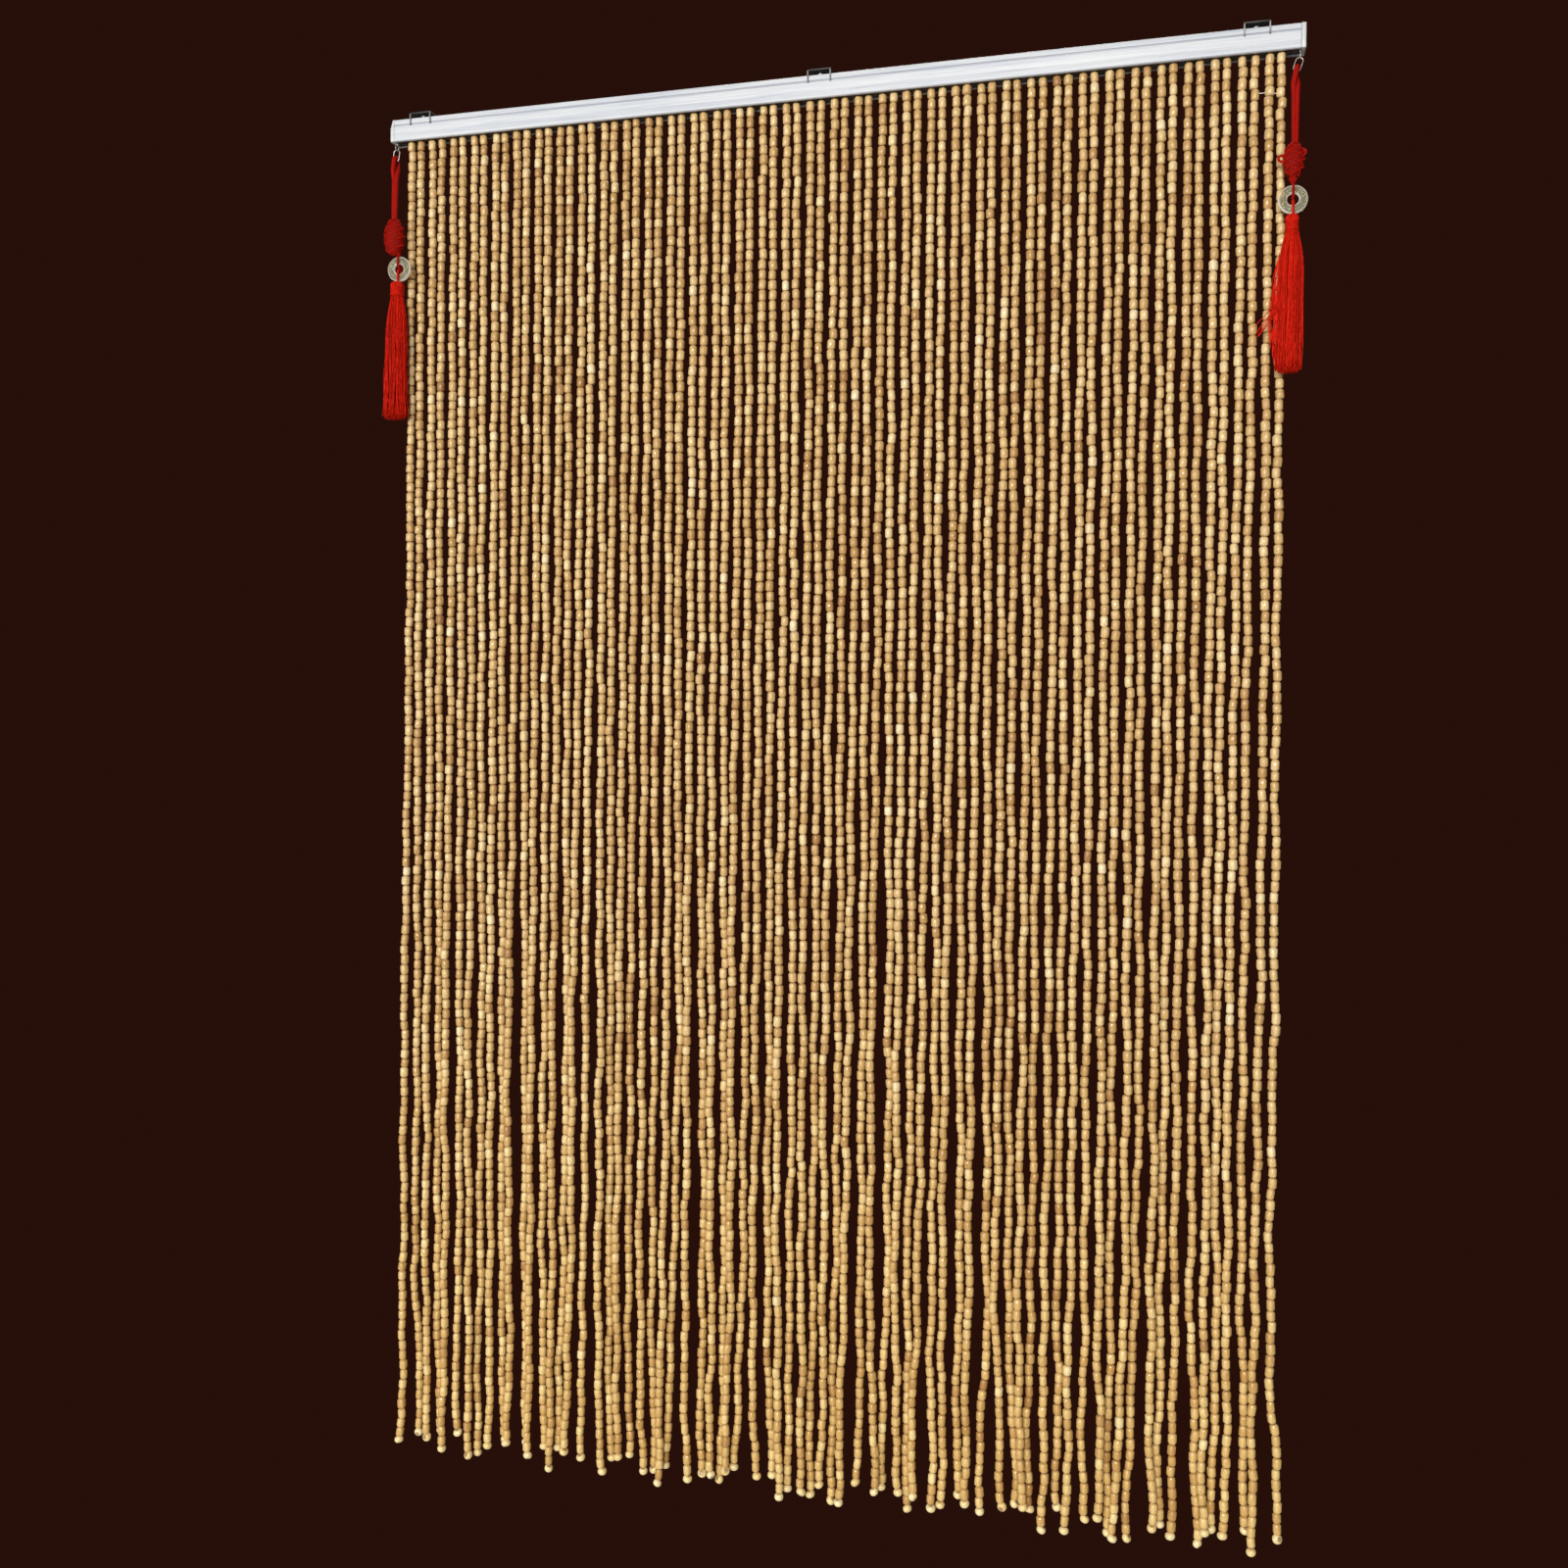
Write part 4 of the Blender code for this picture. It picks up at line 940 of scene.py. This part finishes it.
def make_bead_strings():
    """Every strand: its beads, its end ball and its string, under the holder strip."""
    rng = np.random.default_rng(BEAD_SEED)
    x, y, depths, foot = strand_paths()
    beads = [Shape() for _ in range(BEAD_PIECES)]
    balls = Shape()
    strings = Shape()
    for strand in range(len(x)):
        line = strand_line(x[strand], y[strand], depths, foot[strand], rng)
        along = distances(line)
        edges = bead_edges(along[-1] - BALL_HEIGHT, rng)
        add_beads(beads[strand * BEAD_PIECES // len(x)], line, along, edges, rng.normal(0.50, 0.06), rng)
        ball_at = line[-1] + (0.0, 0.0, BALL_HEIGHT / 2)
        add_ball(balls, ball_at, rng)
        run = on_line(line, along, np.concatenate(([0.0], edges)))
        run[0, 2] += STRIP_THICKNESS * 0.6
        tube(strings, np.vstack((run, ball_at)), STRING_RADIUS, 4)
    for number, piece in enumerate(beads, 1):
        place(f"bead_rows_{number}", piece, "wood", "bead_strings", 52)
    place("strand_end_balls", balls, "wood", "bead_strings")
    place("strand_strings", strings, "string", "bead_strings")
    make_cross_threads(np.sort(x[:, 0])[-3:], STRIP_Z - 3.5 * BEAD_PITCH)
    make_strip()


def make_cross_threads(rights, line_z):
    """Short pale threads that tie the last strands to each other across the fourth row of beads."""
    shape = Shape()
    inner = BEAD_FLAT_WIDTH / 2 - 0.0006
    share = np.linspace(0.0, 1.0, 9)
    for left, right, drop in zip(rights, rights[1:], (0.0006, -0.0007)):
        points = np.column_stack((left + inner + (right - left - 2 * inner) * share,
                                  np.full(9, -0.0012), line_z + drop - 0.0008 * np.sin(pi * share)))
        tube(shape, points, CROSS_THREAD_RADIUS, 5)
    place("cross_threads", shape, "nylon", "bead_strings")


def make_strip():
    """The holder strip that lies on the rail's lips, with a knot over each string."""
    reach = strand_roots()[-1] + STRIP_OVERHANG
    width = RAIL_DEPTH / 2 - RAIL_WALL - GAP
    top = STRIP_Z + STRIP_THICKNESS
    strip = box_shape(rounded_box((-reach, -width, STRIP_Z), (reach, width, top), 0.0004, 2))
    # Painted shadow: the strip takes the near black plug surface, as the shade under the rail
    place("holder_strip", strip, "plug", "bead_strings", 50)
    knots = Shape()
    turns = np.linspace(0.0, 4 * pi, 22)
    for root in strand_roots():
        coil = np.column_stack((root + STRIP_KNOT_RADIUS * np.cos(turns), STRIP_KNOT_RADIUS * np.sin(turns),
                                top + 0.0003 + STRIP_KNOT_HEIGHT * turns / (4 * pi)))
        tube(knots, coil, STRING_RADIUS, 5)
    place("strip_string_knots", knots, "string", "bead_strings")


# Eyes, links, knots, rings and tassels

def at(x, z):
    """A point in the ornaments' plane."""
    return np.array((x, ORNAMENT_Y, z))


def eye_centre(spot):
    """The middle of the eye's round."""
    return np.array((spot["eye_x"], EYE_Y, STRIP_Z - GAP - EYE_SHANK - EYE_RADIUS))


def link_frame(spot):
    """The link's upper centre and the direction it leans in."""
    lean = radians(spot["link_lean"])
    direction = np.array((sin(lean), 0.0, -cos(lean)))
    eye_foot = eye_centre(spot) - (0.0, 0.0, EYE_RADIUS)
    return eye_foot - direction * (2 * WIRE_RADIUS + GAP), direction


def make_metal(side, spot):
    """The wire eye under the cap's plug and the slim link that hangs in it."""
    centre = eye_centre(spot)
    points = [centre + (0.0, 0.0, EYE_RADIUS + EYE_SHANK * share) for share in (1.0, 0.4)]
    for turn in np.linspace(0.0, EYE_TURN, 30):
        points.append(centre + (0.0, EYE_RADIUS * sin(turn), EYE_RADIUS * cos(turn)))
    eye = Shape()
    tube(eye, points, WIRE_RADIUS, 12)
    place(f"eye_{side}_wire", eye, "wire", f"eye_{side}", 50)
    top, direction = link_frame(spot)
    across = np.array((-direction[2], 0.0, direction[0]))
    bend = LINK_WIDTH / 2 - WIRE_RADIUS
    straight = LINK_LENGTH - LINK_WIDTH
    points = []
    for end, start_turn in ((0, 0.0), (1, pi)):
        middle = top + direction * (bend + end * straight)
        for step in range(15):
            turn = start_turn + pi * step / 14
            points.append(middle + across * bend * cos(turn) - direction * bend * sin(turn))
    link = Shape()
    tube(link, points, WIRE_RADIUS, 12, closed=True)
    place(f"link_{side}_wire", link, "wire", f"link_{side}")


def doubled_cord(spot, knot_top):
    """Up one leg, over the link's wire and down the other leg, turning as it goes."""
    top, direction = link_frame(spot)
    bight = top + direction * (LINK_LENGTH - 2 * WIRE_RADIUS)
    turn_radius = WIRE_RADIUS + GAP + LEG_RADIUS
    end = at(spot["knot"][0], knot_top)
    leg = []
    for share in np.linspace(0.0, 1.0, 14):
        twist = pi / 2 * (1.0 - ease(0.0, LEG_TWIST_END, share))
        beside = LEG_RADIUS * (1.0 + (LEG_NARROWING - 1.0) * share) * LEG_OVERLAP
        spread = beside + (turn_radius - beside) * max(0.0, 1.0 - share / LEG_TWIST_END)
        leg.append((bight + (end - bight) * share, np.array((cos(twist), sin(twist), 0.0)) * spread))
    rising = [middle + offset for middle, offset in reversed(leg)]
    falling = [middle - offset for middle, offset in leg]
    over = []
    for step in range(1, 6):
        turn = pi * step / 6
        over.append(bight + (np.array((0.0, cos(turn), 0.0)) - direction * sin(turn)) * turn_radius)
    path = smooth_path(rising + over + falling, 280)
    down = np.clip((bight[2] - path[:, 2]) / (bight[2] - knot_top), 0.0, 1.0)
    return path, LEG_RADIUS * (1.0 + (LEG_NARROWING - 1.0) * down)


def add_bulb(shape, centre, wide, tall, strands, turns):
    """A knotted bulb: cords that run round it both ways and pass over and under each other."""
    depth = wide * 0.75
    inside = CORD_RADIUS * 1.15
    rows = np.linspace(0.0, pi, 22)[1:-1]
    core = [((wide - inside) * sin(turn), (tall - inside * 0.6) * cos(turn)) for turn in rows]
    # Painted shade: the core under the cords takes a very low tone, so the gaps between the cords read dark
    turned(shape, core, centre, 28, depth / wide, tone=0.10)
    reach = tall - CORD_RADIUS
    share = np.linspace(-0.94, 0.94, 90)
    swell = np.sqrt(1.0 - share ** 2)
    speed = pi * turns
    for way in (-1, 1):
        lift = CORD_RADIUS * 0.42 * way * np.cos(strands * speed * share)
        out = swell * (wide - CORD_RADIUS) + lift
        back = swell * (depth - CORD_RADIUS) + lift
        for strand in range(strands):
            around = 2 * pi * strand / strands + way * speed * share
            points = np.column_stack((out * np.cos(around), back * np.sin(around), reach * share)) + centre
            plied_cord(shape, points, CORD_RADIUS * 0.92, tone=0.5 + 0.1 * way)


def make_knot(side, spot):
    """The doubled cord, the knot with its ears and the loop that holds the ring."""
    shape = Shape()
    knot_x, knot_z = spot["knot"]
    ring_x, ring_z = spot["ring"]
    _, first_rise, _, first_tall = spot["bulbs"][0]
    plied_cord(shape, *doubled_cord(spot, knot_z + first_rise + first_tall * 0.85), tone=0.55)
    for number, (sideways, rise, wide, tall) in enumerate(spot["bulbs"]):
        strands, turns = (3, 1.5) if number == 0 else (2, 1.0)
        add_bulb(shape, at(knot_x + sideways, knot_z + rise), wide, tall, strands, turns)
    for sideways, rise in spot["ears"]:
        add_ear(shape, at(knot_x + sideways, knot_z + rise))
    low_x, low_rise, _, low_tall = spot["bulbs"][-1]
    start = at(knot_x + low_x, knot_z + low_rise - low_tall * 0.6)
    end = at(ring_x, ring_z + RING_OUTER + CORD_RADIUS)
    neck = start + (end - start) * np.linspace(0.0, 1.0, 14)[:, None]
    plied_cord(shape, neck, CORD_RADIUS * 1.35, tone=0.5)
    plied_cord(shape, ring_loop(spot, 1), CORD_RADIUS, closed=True, tone=0.55)
    place(f"knot_{side}_cords", shape, "cord", f"knot_{side}")


def add_ear(shape, centre):
    """A small round loop of cord at the knot's side, brighter as a painted highlight."""
    turns = circle(36)
    points = centre + np.column_stack((np.cos(turns), 0.25 * np.sin(turns), np.sin(turns))) * EAR_RADIUS
    # Painted highlight: the ears take a higher tone than the rest of the same cord
    plied_cord(shape, points, CORD_RADIUS, closed=True, tone=0.85)


def ring_loop(spot, upward):
    """A cord loop round the clear ring's band that reaches the middle of its hole."""
    ring_x, ring_z = spot["ring"]
    outer = RING_OUTER + GAP + CORD_RADIUS
    inner = CORD_RADIUS * 0.9
    deep = RING_THICKNESS / 2 + GAP + CORD_RADIUS
    middle = (outer + inner) / 2
    tall = (outer - inner) / 2
    turns = circle(60)
    loop = np.column_stack((np.zeros(60), deep * squared(np.cos(turns), 0.6), tall * np.sin(turns)))
    return smooth_path(at(ring_x, ring_z + upward * middle) + loop, 96, closed=True)


def make_ring(side, spot):
    """The clear ring: a broad band with softly rounded faces."""
    ring_x, ring_z = spot["ring"]
    around = circle(72)[:, None]
    section = circle(24)
    wide = RING_BAND / 2 * squared(np.cos(section), RING_SQUARENESS)
    deep = RING_THICKNESS / 2 * squared(np.sin(section), RING_SQUARENESS)
    radius = np.repeat((RING_OUTER - RING_BAND / 2 + wide)[None, :], len(around), axis=0)
    points = np.stack((ring_x + radius * np.cos(around), ORNAMENT_Y + np.broadcast_to(deep, radius.shape),
                       ring_z + radius * np.sin(around)), axis=-1)
    # The rim value marks where the ring's painted rim light goes
    rim = np.broadcast_to(np.abs(wide) / (RING_BAND / 2), radius.shape)
    shape = Shape()
    shape.add(points, shell_faces(len(around), len(section), closed=True), rim=rim)
    place(f"ring_{side}_glass", shape, "glass", f"ring_{side}", outwards=True)


def make_head(side, spot):
    """The bound head: gathered thread over the top, and a wound binding under it."""
    top = spot["ring"][1] - RING_OUTER - GAP
    centre = at(spot["head_x"], 0.0)
    head_radius = spot["head_radius"]
    shape = Shape()
    core = [(head_radius * wide * 0.94, top - HEAD_HEIGHT * down) for wide, down in HEAD_PROFILE]
    turned(shape, core, centre, 36, tone=0.35)
    widths, heights = np.array(HEAD_PROFILE).T
    rng = np.random.default_rng(HEAD_SEED + len(side))
    down = np.linspace(0.01, 0.46, 9)
    radius = np.interp(down, heights, widths) * head_radius
    for strand in range(HEAD_THREADS):
        around = 2 * pi * strand / HEAD_THREADS + rng.normal(0.0, 0.02)
        run = np.column_stack((radius * cos(around), radius * sin(around), top - down * HEAD_HEIGHT))
        tube(shape, centre + run, THREAD_RADIUS, 5, tone=rng.uniform(0.3, 0.9))
    turns = np.linspace(0.0, 2 * pi * BINDING_TURNS, BINDING_TURNS * 26)
    down = 0.42 + 0.54 * turns / turns[-1]
    radius = (np.interp(down, heights, widths) + 0.05) * head_radius
    coil = np.column_stack((radius * np.cos(turns), radius * np.sin(turns), top - down * HEAD_HEIGHT))
    tube(shape, centre + coil, BINDING_RADIUS, 6, tone=0.52)
    plied_cord(shape, ring_loop(spot, -1), CORD_RADIUS, closed=True, tone=0.55)
    place(f"tassel_{side}_head", shape, "thread", f"tassel_{side}")


def make_skirt(side, spot, seed):
    """The skirt: fine threads that hang from the head and spread a little."""
    rng = np.random.default_rng(seed)
    top_z = spot["ring"][1] - RING_OUTER - GAP - HEAD_HEIGHT + 0.002
    head_x = spot["head_x"]
    foot_x, foot_z = spot["foot"]
    shape = Shape()
    share = np.linspace(0.0, 1.0, 15)
    steps = np.linspace(0.0, 1.0, len(spot["skirt"]))
    outline = smooth_path(np.column_stack((steps, spot["skirt"], np.zeros(len(steps)))), len(share))[:, 1]
    opening = (outline - outline[0]) / (outline.max() - outline[0])
    flat = 1.0 + (SKIRT_FLATNESS - 1.0) * opening
    for thread in range(SKIRT_THREADS):
        outwards = ((thread + 0.5) / SKIRT_THREADS) ** 0.5
        around = thread * GOLDEN_TURN + rng.normal(0.0, 0.05)
        root = spot["head_radius"] * 0.88 * outwards
        reach = (outline.max() - THREAD_RADIUS) * outwards ** 0.8
        radius = root + (reach - root) * opening
        stray = rng.normal(0.0, 0.00035) * share * 2
        wave = 0.0007 * np.sin(2 * pi * (share * rng.uniform(1.2, 3.4) + rng.uniform())) * share
        rounded = 0.0035 * outwards ** 4 + abs(rng.normal(0.0, 0.0016))
        x = head_x + (foot_x - head_x) * share + radius * cos(around) + stray + wave
        y = ORNAMENT_Y + radius * np.sin(around) * flat + 0.6 * wave
        z = top_z + (foot_z + min(rounded, 0.012) - top_z) * share
        thick = THREAD_RADIUS * rng.uniform(0.8, 1.15) * (1.0 - 0.25 * share)
        tube(shape, np.column_stack((x, y, z)), thick, 4, tone=rng.uniform(0.15, 1.0))
    if side == "right":
        add_strays(shape, spot, top_z, rng)
    place(f"tassel_{side}_skirt", shape, "thread", f"tassel_{side}")


def add_strays(shape, spot, top_z, rng):
    """Loose threads on the right tassel's left side: some hang beside it, some stand off as a wisp."""
    drop = top_z - spot["foot"][1]
    edge = spot["head_x"] - 0.0105
    share = np.linspace(0.0, 1.0, 12)
    for _ in range(22):
        begin = rng.uniform(0.12, 0.45)
        fall = rng.uniform(0.35, 0.95 - begin) * drop
        out = rng.uniform(0.0020, 0.0085)
        wave = 0.0010 * np.sin(2 * pi * (share * rng.uniform(0.8, 2.0) + rng.uniform())) * share
        start = np.array((edge, ORNAMENT_Y - 0.002, top_z - begin * drop))
        run = np.column_stack((wave - out * np.sin(pi / 2 * share) ** 0.7, np.zeros(12), -fall * share))
        tube(shape, start + run, 0.00022, 4, tone=rng.uniform(0.5, 1.0))
    for _ in range(9):
        start = np.array((edge + 0.001, ORNAMENT_Y - 0.003, top_z - rng.uniform(0.44, 0.51) * drop))
        out = rng.uniform(0.0150, 0.0225)
        fall = rng.uniform(0.022, 0.036)
        bow = rng.uniform(0.0004, 0.0030) * np.sin(pi * share)
        run = np.column_stack((-out * share + bow, -0.001 * np.sin(pi * share), -fall * share))
        tube(shape, start + run, 0.00026, 4, tone=rng.uniform(0.4, 0.9))


# Light, floor and camera

def make_camera():
    """The photograph's camera."""
    level = Vector((cos(CAMERA_YAW), sin(CAMERA_YAW), 0.0))
    look = Vector((-sin(CAMERA_YAW) * cos(CAMERA_PITCH), cos(CAMERA_YAW) * cos(CAMERA_PITCH),
                   sin(CAMERA_PITCH)))
    upright = level.cross(look)
    right = level * cos(CAMERA_ROLL) + upright * sin(CAMERA_ROLL)
    up = upright * cos(CAMERA_ROLL) - level * sin(CAMERA_ROLL)
    data = bpy.data.cameras.new("camera")
    data.lens = CAMERA_LENS
    data.sensor_width = CAMERA_SENSOR
    data.sensor_fit = "HORIZONTAL"
    data.clip_start = 0.01
    data.clip_end = 100.0
    camera = link_object("camera", data)
    columns = (right, up, -look, Vector(CAMERA_PLACE))
    camera.matrix_world = Matrix([[column[row] for column in columns] for row in range(3)] + [[0, 0, 0, 1]])
    bpy.context.scene.camera = camera


def add_light(name, spot, target, size, power, colour):
    """A soft rectangular light that faces a point."""
    data = bpy.data.lights.new(name, "AREA")
    data.shape = "RECTANGLE"
    data.size, data.size_y = size
    data.energy = power
    data.color = colour
    light = link_object(name, data)
    light.location = spot
    light.rotation_euler = (Vector(target) - Vector(spot)).to_track_quat("-Z", "Y").to_euler()


def make_studio():
    """Soft lights, a dark surround like the photograph's room and a pale floor at a doorway's foot."""
    add_light("key", (0.0, -5.5, 0.6), (0.0, 0.0, -0.8), (1.8, 1.8), 270.0, (1.0, 0.985, 0.955))
    add_light("fill", (-2.6, -4.2, 0.1), (0.0, 0.0, -0.8), (2.0, 2.0), 95.0, (0.98, 0.985, 1.0))
    add_light("back_fill", (0.0, 2.0, 2.3), (0.0, 0.0, -0.6), (1.8, 1.2), 44.0, (1.0, 0.93, 0.86))
    world = bpy.data.worlds.new("surround")
    world.use_nodes = True
    background = world.node_tree.nodes["Background"]
    background.inputs["Color"].default_value = (0.020, 0.005, 0.003, 1.0)
    background.inputs["Strength"].default_value = 1.0
    bpy.context.scene.world = world
    bpy.context.scene.view_settings.view_transform = "Standard"
    floor = Shape()
    corners = ((-3.0, -3.0), (3.0, -3.0), (3.0, 0.7), (-3.0, 0.7))
    floor.add([(x, y, -2.05) for x, y in corners], [[[0, 1, 2, 3]]])
    ground = link_object("pale_floor", floor.mesh("pale_floor"))
    ground.data.materials.append(fibre_surface("pale_floor", (0.78, 0.77, 0.75), 0.7, (2.0, 2.0, 2.0), 3.0,
                                               (0.76, 0.75, 0.73), (0.80, 0.79, 0.77)))


make_camera()
make_studio()
make_rail()
for cap_side in ("left", "right"):
    make_cap(cap_side)
for clip_side in CLIP_X:
    make_clip(clip_side)
    make_screw(clip_side)
make_bead_strings()
for number, (ornament_side, ornament) in enumerate(ORNAMENTS.items()):
    make_metal(ornament_side, ornament)
    make_knot(ornament_side, ornament)
    make_ring(ornament_side, ornament)
    make_head(ornament_side, ornament)
    make_skirt(ornament_side, ornament, SKIRT_SEED + number)
